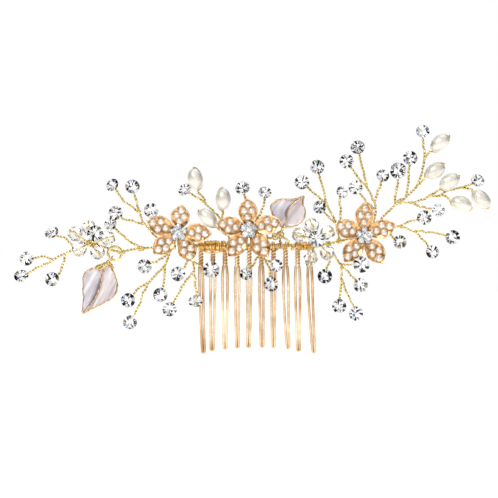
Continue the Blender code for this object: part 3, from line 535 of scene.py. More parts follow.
# Each sprig: where it leaves its wire, then its stems, each with its places and what its tip carries,
# a stone or a pearl's number.
SPRIGS = {
    "sprig_far_left": (-55.0, (
        (((-57.4, -0.9), (-60.4, -2.5), (-64.1, -4.3), (-68.5, -6.6), (-71.6, -8.2)),
         stone(-74.3, -9.4, lean=(0.0, 0.75))),
        (((-57.4, -0.9), (-58.6, 0.9), (-61.0, 2.6)), stone(-64.5, 4.3, lean=(-0.35, 0.75))),
        (((-64.1, -4.3), (-67.5, -3.5)), stone(-72.6, -3.9, 4.5)),
        (((-60.4, -2.5), (-61.0, -6.0), (-62.2, -8.8)), stone(-64.4, -10.4, 4.5)),
    )),
    "sprig_left_upper": (-28.9, (
        (((-31.3, 2.8), (-33.4, 5.0), (-35.1, 6.8), (-36.5, 10.4), (-37.8, 14.6)),
         stone(-38.8, 18.7, lean=(0.1, 0.3))),
        (((-36.5, 10.4), (-40.0, 13.0), (-42.3, 14.8)), stone(-45.2, 19.2, 4.3, lean=(-0.45, 0.5))),
        (((-35.1, 6.8), (-41.4, 8.5)), stone(-44.0, 10.4, 4.5, 1.7)),
        (((-33.4, 5.0), (-33.0, 8.6)), stone(-32.9, 11.2)),
    )),
    "sprig_left_short": (-36.4, (
        (((-38.5, 0.9), (-41.5, 2.6)), stone(-45.8, 6.9, 4.3, lean=(-0.4, 0.3))),
    )),
    "sprig_left_lower": (-26.3, (
        (((-27.2, -2.0), (-28.8, -6.0), (-32.2, -9.6), (-34.0, -11.6), (-36.4, -12.8), (-38.4, -14.8)),
         stone(-40.2, -17.0)),
        (((-34.0, -11.6), (-36.2, -16.6), (-38.0, -21.0)), stone(-39.6, -23.9, lean=(0.0, 0.2))),
        (((-28.8, -6.0), (-29.0, -10.5)), stone(-30.0, -15.3)),
        (((-27.2, -2.0), (-30.2, -4.0)), stone(-35.0, -6.3)),
    )),
    "sprig_inner_lower": (-21.2, (
        (((-20.4, -2.5), (-19.9, -4.8), (-19.8, -8.0), (-22.5, -11.6), (-25.2, -16.4)),
         stone(-27.1, -19.8)),
        (((-19.8, -8.0), (-19.0, -12.0)), stone(-19.0, -17.2, lean=(0.0, 0.6))),
        (((-20.4, -2.5), (-22.0, -5.6)), stone(-24.5, -8.7)),
        (((-19.9, -4.8), (-17.0, -6.2)), stone(-14.0, -7.4, 5.2)),
    )),
    "sprig_middle_left": (-7.9, (
        (((-8.8, 3.4), (-10.2, 6.4), (-12.2, 9.8), (-15.2, 12.6), (-16.6, 15.0)), 1),
        (((-15.2, 12.6), (-18.2, 15.0)), stone(-22.4, 17.7, 4.3, lean=(-0.5, 0.4))),
        (((-10.2, 6.4), (-10.6, 9.0)), 2),
        (((-8.8, 3.4), (-10.4, 4.2)), 3),
    )),
    "sprig_middle_upper": (-0.3, (
        (((-0.8, 3.4), (-1.1, 6.4), (-1.8, 9.6), (-3.2, 13.8)), stone(-4.3, 18.2, lean=(-0.1, 0.5))),
        (((-1.1, 6.4), (1.0, 9.4), (2.3, 12.6)), stone(2.7, 16.8, 4.2, lean=(0.1, 0.6))),
    )),
    "sprig_middle_lower": (1.6, (
        (((2.0, -2.4), (2.8, -4.4), (4.2, -8.0)), stone(4.7, -11.9, lean=(0.1, 0.2))),
        (((2.8, -4.4), (4.6, -5.0)), stone(6.3, -6.1, 4.0)),
        (((2.0, -2.4), (-0.4, -4.4)), stone(-3.2, -8.7, 4.0, lean=(-0.1, 0.4))),
    )),
    "sprig_right_lower": (22.7, (
        (((23.5, -1.6), (26.6, -5.6), (29.6, -9.0)), stone(32.7, -12.2)),
        (((26.6, -5.6), (26.9, -10.5), (26.4, -15.0)), stone(26.0, -18.8)),
        (((26.9, -10.5), (29.2, -16.0)), stone(31.2, -21.1)),
        (((23.5, -1.6), (22.8, -4.6)), stone(21.5, -9.4)),
        (((26.6, -5.6), (29.6, -5.8)), stone(32.7, -5.7, 5.2, 5.3)),
    )),
    "sprig_right_inner": (26.2, (
        (((25.4, 5.0), (25.0, 7.0), (24.2, 9.0), (22.2, 13.0), (21.0, 18.0)),
         stone(19.1, 24.8, lean=(0.0, 0.3))),
        (((22.2, 13.0), (18.8, 16.0)), stone(14.3, 20.0, lean=(-0.1, 0.1))),
        (((25.0, 7.0), (22.6, 9.2)), stone(19.8, 12.2, 4.1, lean=(-0.2, 0.1))),
        (((25.4, 5.0), (26.3, 9.6)), stone(26.9, 16.9, 3.9, lean=(0.35, 0.3))),
    )),
    "sprig_right_upper": (33.9, (
        (((35.8, 5.8), (37.2, 9.0), (37.4, 11.4), (37.1, 13.6), (35.0, 18.6), (33.4, 24.0)),
         stone(31.8, 31.0, lean=(-0.1, 0.3))),
        (((35.0, 18.6), (32.4, 21.0)), stone(28.3, 26.6, lean=(-0.2, 0.1))),
        (((37.1, 13.6), (38.4, 17.6)), stone(39.7, 22.1, 4.1, lean=(0.2, 0.2))),
        (((37.4, 11.4), (34.4, 14.2)), stone(31.1, 18.4, 4.4)),
    )),
    "sprig_right_main": (36.9, (
        (((38.9, 7.6), (41.0, 10.4), (43.6, 12.8), (47.0, 15.2), (50.6, 19.0), (52.2, 23.4), (53.1, 27.4)),
         4),
        (((53.1, 27.4), (52.8, 31.0)), stone(52.4, 36.1, 4.3, lean=(0.0, 0.2))),
        (((47.0, 15.2), (47.7, 19.4)), stone(48.4, 27.7, lean=(0.1, 0.1))),
        (((43.6, 12.8), (44.0, 17.0)), stone(44.6, 23.7, 5.2)),
        (((50.6, 19.0), (52.0, 20.0)), 5),
    )),
    "sprig_right_low": (39.2, (
        (((41.4, 4.6), (44.7, 6.2), (49.8, 4.8), (53.7, 4.5), (58.0, 3.8)), stone(62.0, 2.8)),
        (((44.7, 6.2), (49.0, 7.8)), stone(52.9, 9.0)),
        (((49.8, 4.8), (53.0, 1.4)), stone(55.5, -1.8, 4.2, lean=(0.1, -0.1))),
        (((41.4, 4.6), (42.6, 3.2)), stone(45.1, 1.3, 4.3)),
    )),
    "sprig_right_pearls": (45.4, (
        (((48.6, 13.6), (51.6, 14.4), (54.6, 15.8), (56.2, 16.6)), 6),
        (((54.6, 15.8), (57.6, 15.8), (59.2, 16.2)), 7),
        (((57.6, 15.8), (60.4, 17.6), (64.0, 18.4), (66.4, 19.0)),
         stone(70.0, 20.8, 4.4, lean=(0.1, 0.5))),
        (((64.0, 18.4), (65.8, 18.4)), 8),
        (((48.6, 13.6), (52.0, 12.4)), stone(57.4, 11.3, 4.2)),
    )),
}
PEARL_LENGTH = 6.8
PEARL_WIDTH = 4.8
PEARL_WIRE = 0.2
PEARL_STEM = 0.75  # below the pearl, where its wire joins the stem
PEARL_SIDES = (-1, 1, 1, -1, 1, -1, -1, -1)
HAND_WAVER = 0.5
RAISED = 3  # a stone further forward than this sits on a stem that is bent up to it


def pearl_axis(number):
    """A pearl's middle, the direction of its hole and the side its wire comes back on."""
    joint = joints[f"pearl_{number}_spin"]
    along = Vector(joint["axis"])
    across = Vector((-along.z, 0, along.x)) * PEARL_SIDES[number - 1]
    return Vector(joint["pos_m"]) / MM, along, across


def pearl_wire(number):
    """The wire out of the stem, through the pearl, over its tip and back along its side."""
    middle, along, across = pearl_axis(number)
    across = (across * 0.8 + Vector((0, 0.6, 0))).normalized()
    half, wide, off = PEARL_LENGTH / 2, PEARL_WIDTH / 2, PEARL_WIRE + 0.06
    run = [(-half - 1.3, 0), (0, 0), (half + 0.15, 0)]
    for a in (math.radians(d) for d in (12, 30, 50, 75, 100, 125, 148, 165)):
        outward = Vector((math.cos(a) / half, math.sin(a) / wide)).normalized()
        run.append((half * math.cos(a) + outward.x * off, wide * math.sin(a) + outward.y * off))
    run += [(-half - PEARL_STEM, 0.3), (-half - 2 * PEARL_STEM, 0.1)]
    return wire(smooth([middle + along * u + across * v for u, v in run], 0.3), PEARL_WIRE, 6)


def hand_bent(path):
    """A path with the small waver that twisting by hand leaves, and none at its ends."""
    last = len(path) - 1
    return [point + Vector((noise.noise(point * 0.5), 0, noise.noise(point * 0.5 + Vector((7, 0, 0)))))
            * (HAND_WAVER * math.sin(math.pi * number / last)) for number, point in enumerate(path)]


main_stem = smooth([on_sheet(x, z) for x, z in SPRIGS["sprig_right_main"][1][0][0]])
for sprig_name, (root_x, stems) in SPRIGS.items():
    trunk = main_stem if sprig_name == "sprig_right_pearls" else vine_path
    root = min(trunk, key=lambda point: abs(point.x - root_x))
    stem_shapes, cups, stones = [collar(trunk, root_x)], [], []
    for number, (layout, tip) in enumerate(stems):
        path = [on_sheet(x, z) for x, z in layout]
        if number == 0:
            path.insert(0, root + (path[0] - root).normalized() * 0.5)
        if isinstance(tip, int):
            middle, along, _ = pearl_axis(tip)
            path.append(middle - along * (PEARL_LENGTH / 2 + PEARL_STEM))
            stem_shapes.append(pearl_wire(tip))
        else:
            back = on_sheet(tip["x"], tip["z"], CUP_Y - tip["forward"])
            facing = Vector((tip["lean"][0] + chance.uniform(-0.1, 0.1), -1,
                             tip["lean"][1] + chance.uniform(-0.1, 0.1))).normalized()
            radius = tip["diameter"] / 2
            girdle = back + Vector((0, -CUP_DEPTH, 0))
            back = girdle - facing * CUP_DEPTH
            cups.append(cup(back, radius, facing))
            stones.append(cut_stone(girdle, radius, facing, chance.uniform(0, math.tau)))
            if tip["forward"] > RAISED:
                path.append(Vector((back.x, path[-1].y, back.z)))
            path.append(back - facing * 0.12)
        if len(path) > 1:
            stem_shapes += twisted(hand_bent(smooth(path)))
    piece(f"{sprig_name}_stems", stem_shapes, gold_wire, replaced=[sprig_name], crease=60)
    if stones:
        piece(f"{sprig_name}_cups", cups, gold_wire, crease=35)
        piece(f"{sprig_name}_stones", stones, crystal)

# Pearls: ivory imitation pearls, long drops of glass dipped in nacre, each turning on its own wire. The
# dip leaves a soft satin lustre over a cream body, a little pinker in places.
nacre, tree, shader, here = finish("ivory_nacre", Metallic=0.45, Roughness=0.4, Coat_Weight=1.0,
                                   Coat_Roughness=0.16)
clouding = node(tree, "ShaderNodeTexNoise", {"Vector": here, "Scale": pattern(3.5), "Detail": 2.0})
cream = node(tree, "ShaderNodeValToRGB", {"Fac": clouding.outputs["Fac"]},
             stops=((0.3, "#D3CEC0"), (0.5, "#E2DED2"), (0.7, "#E8E0D6")))
dip = node(tree, "ShaderNodeTexNoise", {"Vector": here, "Scale": pattern(0.5)})
dip_relief = node(tree, "ShaderNodeBump", {"Height": dip.outputs["Fac"], "Strength": 0.04,
                                           "Distance": 0.00003})
tree.links.new(cream.outputs["Color"], shader.inputs["Base Color"])
tree.links.new(dip_relief.outputs["Normal"], shader.inputs["Normal"])
PEARL_HOLE = 0.4
PEARL_END = 0.17  # the angle where its round side meets the hole
for number in range(1, len(PEARL_SIDES) + 1):
    middle, along, _ = pearl_axis(number)
    angles = [PEARL_END + (math.pi - 2 * PEARL_END) * k / 14 for k in range(15)]
    section = [(PEARL_HOLE, -PEARL_LENGTH / 2 + 0.1)]
    section += [(PEARL_WIDTH / 2 * math.sin(a) ** 0.94, -PEARL_LENGTH / 2 * math.cos(a)) for a in angles]
    section += [(PEARL_HOLE, PEARL_LENGTH / 2 - 0.1)]
    piece(f"pearl_drop_{number}", [turned(section, middle, along, 28, bored=True)], nacre,
          body=f"pearl_{number}", replaced=[f"pearl_{number}"], crease=50)

# Metal flowers: five brass petals stamped to a point, dished and curled at the edge, plated a deep rose
# gold. Four seed pearls are glued in each dish, and six small stones in silver settings are sewn to the
# middle. Each entry gives the middle, each petal's angle and share of the full reach, and its tie's x.
FLOWER_Y = -5.49
PETAL_REACH = 10.3
PETAL_WIDTH = 5.8
PETAL_RISE = 1.7
PETAL_CURL = 0.8
PETAL_WAVE = 0.12  # how much the edge ripples
PETAL_GAUGE = 0.3
ROLLED_EDGE = 0.17
EYELET = 2.1
SEED_PEARL = 1.15
SEED_BACK = math.radians(75)  # where its round side meets its flat back
SEED_SPOTS = ((0.34, 0.05), (0.56, -0.44), (0.58, 0.44), (0.8, -0.03))  # along and across each petal
SEED_BEDDING = 0.28  # from the dish to a seed pearl's middle
PETAL_STACK = 0.05  # each petal lies this much in front of the one before
GEM = 0.98
GEM_RING = 1.6
GEM_TIES = 0.27
FLOWERS = {
    "flower_left": ((-24.3, 4.3), ((-2.5, 1), (82, 0.82), (159.5, 1), (221, 0.97), (297, 0.98)), -23.6),
    "flower_middle": ((-2.4, 5.1), ((15, 1), (92, 0.94), (168, 0.98), (232.5, 1), (306.5, 1)), -4.1),
    "flower_right": ((33.8, 3.3), ((20.5, 0.98), (90, 1), (159, 0.95), (232, 1), (303, 1)), 30.8),
}
PETAL_OUTLINE = ((0.0, 0.3), (0.12, 0.46), (0.3, 0.84), (0.48, 1.0), (0.64, 0.96), (0.8, 0.7),
                 (0.92, 0.34), (1.0, 0.04))  # share of the length, share of the half width
# Brass plated a deep rose gold, and silver plate round the stones. The rolled edge is a paler copy of the
# rose gold, a painted highlight where the rims catch the light.
petal_metal = plated_metal("rose_gold_stamped_brass", "#A86E34", "#ECC088", 0.22, 1.2)
painted_highlight_edge = plated_metal("rose_gold_rolled_edge_painted_highlight", "#C89C66", "#FCE8C6", 0.18, 1.0)
silver_setting = plated_metal("silver_plated_setting", "#A8A8A6", "#F2F2F0", 0.18, 0.8)
# Imitation seed pearls: glossy nacre that takes a warm blush from the metal round it.
seed_nacre, tree, shader, here = finish("blush_seed_pearl", Metallic=0.55, Roughness=0.3,
                                        Coat_Weight=1.0, Coat_Roughness=0.12)
blush = node(tree, "ShaderNodeTexNoise", {"Vector": here, "Scale": pattern(1.4)})
blush_tone = node(tree, "ShaderNodeValToRGB", {"Fac": blush.outputs["Fac"]},
                  stops=((0.35, "#D8C8B8"), (0.65, "#F0E6DC")))
tree.links.new(blush_tone.outputs["Color"], shader.inputs["Base Color"])


def petal_half_width(share):
    """Half a petal's width at a share of its length."""
    for (start, low), (end, high) in zip(PETAL_OUTLINE, PETAL_OUTLINE[1:]):
        if share <= end:
            return PETAL_WIDTH / 2 * (low + (high - low) * (share - start) / (end - start))
    return PETAL_WIDTH / 2 * PETAL_OUTLINE[-1][1]


def petal_spot(centre, direction, share, across, forward=0.0):
    """A point of a petal: share runs from its root to its tip, across from edge to edge."""
    angle, length = direction
    turn = math.radians(angle)
    out = Vector((math.cos(turn), 0, math.sin(turn)))
    side = Vector((-math.sin(turn), 0, math.cos(turn)))
    curl = PETAL_CURL * abs(across) ** 2.5 * math.sin(math.pi * min(share, 1.0))
    curl += PETAL_WAVE * math.sin(share * 11 + angle) * abs(across)
    rise = PETAL_RISE * share ** 2 + curl
    reach = EYELET * 0.5 + (PETAL_REACH * length - EYELET * 0.5) * share
    aside = side * petal_half_width(share) * across
    return centre + out * reach + aside + Vector((0, -rise - forward, 0))


def petal(centre, direction):
    """A dished petal with a rolled edge."""
    across = [k / 5 - 1 for k in range(11)]
    rings = []
    for k in range(17):
        share = k / 16
        front = [petal_spot(centre, direction, share, a, PETAL_GAUGE) for a in across]
        rings.append(front + [petal_spot(centre, direction, share, a) for a in across[::-1]])
    edge = [petal_spot(centre, direction, k / 20, -1, PETAL_GAUGE / 2) for k in range(2, 21)]
    edge += [petal_spot(centre, direction, k / 20, 1, PETAL_GAUGE / 2) for k in range(20, 1, -1)]
    rolled = wire(edge, ROLLED_EDGE, 6)
    # The rolled edge takes the paler second material: a painted highlight.
    return [skin(rings), (*rolled, [1] * len(rolled[1]))]


def seed_pearl(centre, direction, share, across):
    """A flat-backed seed pearl, glued square to the dish where it sits."""
    root, tip = (petal_spot(centre, direction, share + step, across) for step in (-0.06, 0.06))
    left, right = (petal_spot(centre, direction, share, across + step) for step in (-0.2, 0.2))
    face = (tip - root).cross(right - left).normalized()
    face = -face if face.y > 0 else face
    angles = [SEED_BACK + (math.pi - 0.1 - SEED_BACK) * k / 6 for k in range(7)]
    profile = [(0.05, -SEED_PEARL * math.cos(SEED_BACK))]
    profile += [(SEED_PEARL * math.sin(a), -SEED_PEARL * math.cos(a)) for a in angles]
    bed = petal_spot(centre, direction, share, across, PETAL_GAUGE)
    return turned(profile, bed + face * SEED_BEDDING, face, 14)


for flower, (middle, directions, tie_x) in FLOWERS.items():
    centre = on_sheet(*middle, FLOWER_Y)
    stamped = [turned(((0.55, -0.05), (EYELET, -0.05), (EYELET, 0.5), (0.55, 0.5)), centre,
                      Vector((0, -1, 0)), 24, bored=True)]
    seeds = []
    for number, direction in enumerate(directions):
        lifted = centre + Vector((0, -PETAL_STACK * number, 0))
        stamped += petal(lifted, direction)
        seeds += [seed_pearl(lifted, direction, *spot) for spot in SEED_SPOTS]
    piece(f"{flower}_stamping", stamped, (petal_metal, painted_highlight_edge),
          replaced=[f"{flower}_petals"], crease=50)
    piece(f"{flower}_seed_pearls", seeds, seed_nacre, crease=60)
    base = centre + Vector((0, -0.75, 0))
    settings = [turned(((0.05, 0), (1.5, 0), (1.5, 0.35), (0.05, 0.35)), base, Vector((0, -1, 0)), 24)]
    gems = []
    for k in range(6):
        a = math.tau * (k + 0.25) / 5
        seat = base + (Vector((math.cos(a), 0, math.sin(a))) * GEM_RING if k < 5 else Vector((0, -0.3, 0)))
        facing = Vector((math.cos(a) * 0.25, -1, math.sin(a) * 0.25)) if k < 5 else Vector((0, -1, 0))
        settings.append(turned(((0.4, 0.1), (0.86, 0.78), (0.76, 0.8), (0.3, 0.3)), seat, facing, 12))
        gems.append(cut_stone(seat + facing.normalized() * 0.85, GEM, facing, chance.uniform(0, 1)))
    root = min(vine_path, key=lambda point: abs(point.x - tie_x))
    sewn = [centre + Vector((0, -0.6, 0)), centre + Vector((0, 1.0, 0)), root]
    sewing = wire(smooth(sewn, 0.3), GEM_TIES, 6)
    piece(f"{flower}_sewing", [sewing, collar(vine_path, tie_x)], gold_wire,
          replaced=[f"{flower}_centre"], crease=60)
    piece(f"{flower}_settings", settings, silver_setting, crease=35)
    piece(f"{flower}_gems", gems, crystal)

# Cut-glass flowers: five faceted beads, faintly champagne, each threaded on its own gold spoke round a
# larger foiled stone. The clear glass shows the wire inside and another wire laid over each bead. Each
# entry gives the hub, the stone, the tie's x, how many beads there are and which are bicones.
BEAD_Y = -5.16
BEAD_RADIUS = 2.3
BEAD_LENGTH = 4.0
ROUND_HALF, BICONE_HALF = 0.5, 0.7  # half a bead's length, in bead lengths
BEAD_BORE = 0.45
BEAD_SIDES = 8
# Rows of corners along a bead: reach in bead radii, and height in half lengths.
ROUND_ROWS = ((0.55, -1.05), (0.92, -0.6), (1.08, 0.0), (0.92, 0.6), (0.55, 1.05))
BICONE_ROWS = ((0.3, -1.0), (1.1, 0.0), (0.3, 1.0))
SPOKE = 0.25
HUB_COIL, HUB_WIRE = 0.95, 0.24
OVERLAID_WIRE = 0.17
OVERLAID = ((-0.95, 0.66), (-0.45, 0.98), (0.0, 1.03), (0.45, 0.98), (0.95, 0.66))
HUB_STONE = 5.1
CUT_FLOWERS = {
    "bead_flower_left": ((-52.2, 0.9), (-50.3, 3.8), -50.5, 5, ()),
    "bead_flower_right": ((18.6, 2.1), (18.6, 2.1), 19.4, 5, (5,)),
}
# Pressed glass with a faint warm tint, clear enough to show its wire.
bead_glass, tree, shader, here = finish("champagne_cut_glass", Transmission_Weight=0.97, Roughness=0.0,
                                        IOR=1.5)
streaks = node(tree, "ShaderNodeTexNoise", {"Vector": here, "Scale": pattern(2.0)})
champagne = node(tree, "ShaderNodeValToRGB", {"Fac": streaks.outputs["Fac"]},
                 stops=((0.35, "#FFF9F0"), (0.65, "#FFFFFF")))
tree.links.new(champagne.outputs["Color"], shader.inputs["Base Color"])


def half_length(bicone):
    """Half a bead's length along its wire."""
    return BEAD_LENGTH * (BICONE_HALF if bicone else ROUND_HALF)


def faceted_bead(middle, along, bicone):
    """A bead cut all over with small facets in rows that alternate, and bored through."""
    turn = along.normalized().to_track_quat("Z", "Y").to_matrix()
    half, sides = half_length(bicone), BEAD_SIDES

    def ring(radius, height, shift=0.0):
        return [middle + turn @ Vector((radius * math.cos(a), radius * math.sin(a), half * height))
                for a in circle(sides, shift)]

    rings = [ring(BEAD_RADIUS * reach, height, 0.5 * (number % 2))
             for number, (reach, height) in enumerate(BICONE_ROWS if bicone else ROUND_ROWS)]
    bore = [ring(BEAD_BORE, height) for height in (1.0, -1.0)]
    corners = [point for row in rings + bore for point in row]
    faces = []
    for number in range(len(rings) - 1):
        near, far = number * sides, (number + 1) * sides
        lag = number % 2
        for k in range(sides):
            after = (k + 1) % sides
            if lag:
                faces += [(near + k, near + after, far + after), (near + k, far + after, far + k)]
            else:
                faces += [(near + k, near + after, far + k), (near + after, far + after, far + k)]
    top, high, low = (len(rings) - 1) * sides, len(rings) * sides, (len(rings) + 1) * sides
    for near, far in ((top, high), (high, low), (low, 0)):
        faces += [(near + k, near + (k + 1) % sides, far + (k + 1) % sides, far + k) for k in range(sides)]
    return corners, faces


for flower, (hub_at, stone_at, tie_x, beads, bicones) in CUT_FLOWERS.items():
    hub, seat = on_sheet(*hub_at, BEAD_Y), on_sheet(*stone_at, BEAD_Y - BEAD_RADIUS - 0.2)
    root = min(vine_path, key=lambda point: abs(point.x - tie_x))
    post = [root, hub + Vector((0, 0.3, 0)), hub, seat + Vector((0, -0.5, 0))]
    wires = [wire(smooth(post, 0.3), 0.3), collar(vine_path, tie_x)]
    for tilt in (0.0, 0.9, 1.9):
        coil = [hub + Vector((math.cos(a), 0.5 * math.sin(a + tilt), math.sin(a))) * HUB_COIL
                for a in circle(22)]
        wires.append(wire(coil, HUB_WIRE, 6, closed=True))
    for number in range(1, beads + 1):
        joint = joints[f"{flower}_bead_{number}_spin"]
        middle, along = Vector(joint["pos_m"]) / MM, Vector(joint["axis"])
        half = half_length(number in bicones)
        wires.append(wire([hub + along * 0.4, middle + along * (half + 0.2)], SPOKE))
        over = [hub + along * 0.7]
        over += [middle + along * half * u + Vector((0, -1, 0)) * (BEAD_RADIUS + 0.28) * v
                 for u, v in OVERLAID]
        over.append(middle + along * (half + 0.12))
        wires.append(wire(smooth(over, 0.3), OVERLAID_WIRE, 6))
        piece(f"{flower}_cut_bead_{number}", [faceted_bead(middle, along, number in bicones)], bead_glass,
              body=f"{flower}_bead_{number}", replaced=[f"{flower}_bead_{number}"])
    facing = Vector((0.1, -1, 0.1)).normalized()
    wires.append(cup(seat, HUB_STONE / 2, facing))
    piece(f"{flower}_wires", wires, gold_wire, replaced=[f"{flower}_wire"], crease=50)
    piece(f"{flower}_stone", [cut_stone(seat + facing * CUP_DEPTH, HUB_STONE / 2, facing, 0.3)], crystal)

# Leaves: a cast rose-gold rim and mid-vein filled with pearly enamel, folded along the vein. The enamel is
# poured in lilac and blush, which run together in streaks under a glassy top, and a darker strip beside the
# vein is painted shade in the fold.
# Each leaf has its layer, its body, and its left edge, vein and right edge from base to tip.
LEAF_RIM = 0.3
LEAF_FOLD = 0.75
ENAMEL_GAUGE = 0.4
ENAMEL_RIPPLE = 0.16
RIM_WOBBLE = 0.22
LEAF_ROWS = 40
LEAF_COLUMNS = 13
FOLD_COLUMN = 5  # the strip from here to the vein is a painted shade in the fold
STREAK = (0.0015, 0.004, 0.008)  # a streak's width, depth and length in metres
LEAVES = {
    "leaf_left": (RING_Y, "leaf_left", (
        ((-46.6, -5.1), (-50.4, -6.4), (-53.9, -8.8), (-54.4, -13.4), (-54.3, -17.3), (-54.8, -21.3)),
        ((-46.6, -5.1), (-48.3, -8.6), (-49.1, -12.5), (-50.4, -15.7), (-52.4, -18.7), (-54.8, -21.3)),
        ((-46.6, -5.1), (-44.9, -8.2), (-43.7, -12.2), (-44.8, -15.8), (-49.4, -18.6), (-54.8, -21.3)))),
    "leaf_right": (VINE_Y - 2.37, "comb", (
        ((8.1, 5.6), (5.4, 9.4), (4.7, 12.6), (7.2, 14.5), (11.4, 14.5), (14.8, 15.5)),
        ((8.1, 5.6), (9.3, 8.0), (9.8, 10.6), (10.9, 12.4), (12.4, 13.8), (14.8, 15.5)),
        ((8.1, 5.6), (11.6, 6.2), (14.4, 8.0), (15.2, 10.4), (14.6, 13.2), (14.8, 15.5)))),
}


def pearly_enamel(name, turn, tones):
    """Enamel whose colours have run together in streaks, turned to lie along the leaf."""
    made, tree, shader, here = finish(name, Roughness=0.26, Coat_Weight=0.8, Coat_Roughness=0.06)
    lengthwise = node(tree, "ShaderNodeMapping", {"Vector": here, "Rotation": (0, math.radians(turn), 0),
                                                  "Scale": STREAK}, vector_type="TEXTURE")
    run_together = node(tree, "ShaderNodeTexNoise", {"Vector": lengthwise.outputs["Vector"], "Scale": 1.0,
                                                     "Detail": 3.0, "Distortion": 0.5})
    pour = node(tree, "ShaderNodeValToRGB", {"Fac": run_together.outputs["Fac"]}, stops=tones)
    swirl = node(tree, "ShaderNodeBump", {"Height": run_together.outputs["Fac"], "Strength": 0.25,
                                          "Distance": 0.0002})
    tree.links.new(pour.outputs["Color"], shader.inputs["Base Color"])
    tree.links.new(swirl.outputs["Normal"], shader.inputs["Normal"])
    return made


LILAC = ((0.32, "#A59EA6"), (0.46, "#C2BBC2"), (0.58, "#D2CCD2"), (0.7, "#ECE8EC"))
BLUSH = ((0.32, "#B8A9AC"), (0.46, "#CFC3C6"), (0.58, "#DDD2D3"), (0.7, "#F2EAE8"))
# Painted shade: a darker lilac laid in the fold beside the vein.
PAINTED_FOLD_SHADE = ((0.4, "#7C7480"), (0.6, "#B4ACB6"))
LEAF_TURNS = {"leaf_left": 27, "leaf_right": 34}


def evenly(line, count):
    """A line as a smooth curve of count equal steps."""
    dense = smooth(line, 0.05)
    return [dense[round(k * (len(dense) - 1) / count)] for k in range(count + 1)]


def leaf(layer, lines):
    """The enamel sheet, the rim and the mid-vein of a leaf."""
    left, vein, right = (evenly([on_sheet(x, z, layer) for x, z in line], LEAF_ROWS) for line in lines)
    rings = []
    for number in range(1, LEAF_ROWS):
        fold = LEAF_FOLD * min(1.0, (left[number] - right[number]).length / 5)
        front = []
        for k in range(LEAF_COLUMNS):
            u = 2 * k / (LEAF_COLUMNS - 1) - 1
            edge = left[number] if u < 0 else right[number]
            spot = vein[number].lerp(edge, abs(u) * 0.97)
            dish = fold * (1 - abs(u)) + 0.22 * math.sin(math.pi * abs(u)) * min(1.0, fold)
            ripple = ENAMEL_RIPPLE * noise.noise(Vector((u * 2.0, number * 0.16, layer)))
            front.append(spot + Vector((0, dish + ripple - ENAMEL_GAUGE / 2, 0)))
        rings.append(front + [point + Vector((0, ENAMEL_GAUGE, 0)) for point in front[::-1]])
    outline = []
    for point in left[:-1] + right[:0:-1]:
        wobble = Vector((noise.noise(point * 0.9), 0, noise.noise(point * 0.9 + Vector((9, 0, 0)))))
        outline.append(point + wobble * RIM_WOBBLE)
    ridge = [point + Vector((0, 0.1 * math.sin(math.pi * k / LEAF_ROWS), 0))
             for k, point in enumerate(vein)]
    corners, faces = skin(rings)
    kinds = []  # lilac left of the vein, blush right of it, and a painted shade strip in the fold
    for number in range(len(rings) - 1):
        kinds += [2 if s == FOLD_COLUMN and number > 10 else 0 if s < 6 or s > 18 else 1
                  for s in range(2 * LEAF_COLUMNS)]
    kinds += [0, 0]
    return [(corners, faces, kinds)], [wire(outline, LEAF_RIM, closed=True), wire(ridge, LEAF_RIM * 0.75)]


TIE_WIRE, TIE_LAY = 0.22, 1.6
LEFT_TIES = (((-50.4, -7.0), (-48.9, -6.2), (-47.5, -5.4), (-46.2, -4.9)),
             ((-49.4, -7.7), (-48.0, -6.7), (-46.6, -5.7), (-45.5, -5.3)),
             ((-48.2, -6.5), (-46.9, -5.6), (-45.7, -5.6), (-44.9, -7.0)))
RIGHT_TIES = (((2.6, 2.4), (5.0, 2.6), (7.2, 3.8), (9.0, 6.2)),
              ((4.0, 4.6), (6.2, 3.6), (8.6, 2.6), (10.4, 1.4)))
RIGHT_CURLS = ((4.3, 3.4, 1.0), (6.0, 3.0, 0.9), (7.5, 3.6, 1.0))  # place and radius
RIGHT_ROOT = 7.3
RING_RADIUS = 2.15
BAIL_WIRE = 0.28
BAIL_WRAPS, WRAP_POINTS = 4, 14


def strands(lines, layer):
    """Twisted ties that lie in a layer."""
    return [shape for line in lines
            for shape in twisted(smooth([on_sheet(x, z, layer) for x, z in line]), TIE_WIRE, TIE_LAY)]


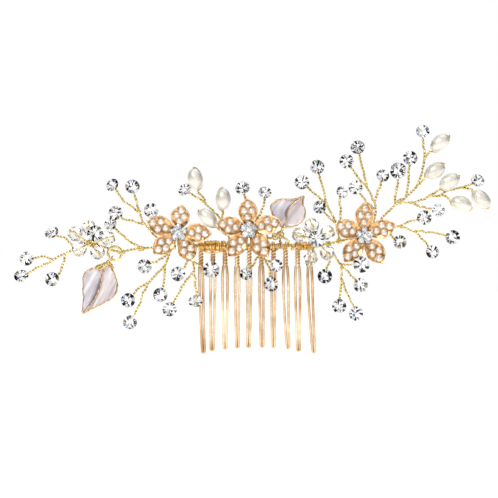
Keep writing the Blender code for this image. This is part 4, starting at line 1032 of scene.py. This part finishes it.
# Cast brass plated in rose gold: a soft warm shine round the pale enamel.
rose_gold_cast = plated_metal("rose_gold_cast_rim", "#A67C4E", "#EFD2A6", 0.22, 0.9)
ring_centre = Vector(joints["leaf_swing"]["pos_m"]) / MM
backward = Vector((0, 1, 0))
for leaf_name, (layer, body, lines) in LEAVES.items():
    sheet, rims = leaf(layer, lines)
    base = on_sheet(*lines[0][0], layer)
    if body == "leaf_left":
        out = (base - ring_centre).normalized()
        hold = ring_centre + out * RING_RADIUS
        bail = [hold + (out * math.cos(a) + backward * math.sin(a)) * EYE_RADIUS for a in circle(20)]
        side = out.cross(backward)
        wraps = []
        for k in range(BAIL_WRAPS * WRAP_POINTS):
            a = math.tau * k / WRAP_POINTS
            round_bail = side * math.cos(a) + backward * math.sin(a)
            wraps.append(hold + out * (0.85 + 0.018 * k) + round_bail * 0.5)
        rims += [wire(bail, BAIL_WIRE, closed=True), wire([hold + out * 0.9, base], 0.26),
                 wire(wraps, 0.2, 6)]
        ties = strands(LEFT_TIES, layer - 0.6)
    else:
        root = min(vine_path, key=lambda point: abs(point.x - RIGHT_ROOT))
        rims += twisted(smooth([root, on_sheet(7.6, 3.6, layer + 1.2), base]), 0.2)
        rims.append(collar(vine_path, RIGHT_ROOT))
        ties = []
        for x, z, size in RIGHT_CURLS:
            middle = on_sheet(x, z, layer + 0.9)
            curl = [middle + Vector((math.cos(a), 0.25 * math.sin(a), math.sin(a))) * size
                    for a in circle(18)]
            ties.append(wire(curl, 0.27, 6, closed=True))
        ties += strands(RIGHT_TIES, layer + 0.2)
    piece(f"{leaf_name}_ties", ties, gold_wire, body=body, crease=60)
    piece(f"{leaf_name}_rim", rims, rose_gold_cast, body=body,
          replaced=[f"{leaf_name}_frame"], crease=60)
    enamels = tuple(pearly_enamel(f"{leaf_name}_{tone}", LEAF_TURNS[leaf_name], tones)
                    for tone, tones in (("lilac", LILAC), ("blush", BLUSH), ("painted_fold_shade", PAINTED_FOLD_SHADE)))
    piece(f"{leaf_name}_pour", sheet, enamels, body=body,
          replaced=[f"{leaf_name}_enamel"], crease=50)

# Jump ring: a round ring of heavier gold-plated brass wire, closed through the vine's eye. It tips in
# the eye, and the left leaf's bail hangs from it.
RING_WIRE = 0.42
hoop = [ring_centre + Vector((math.cos(a), 0, math.sin(a))) * RING_RADIUS for a in circle(48)]
piece("jump_ring_wire", [wire(hoop, RING_WIRE, 12, closed=True)], gold_wire,
      body="jump_ring", replaced=["jump_ring"], crease=60)
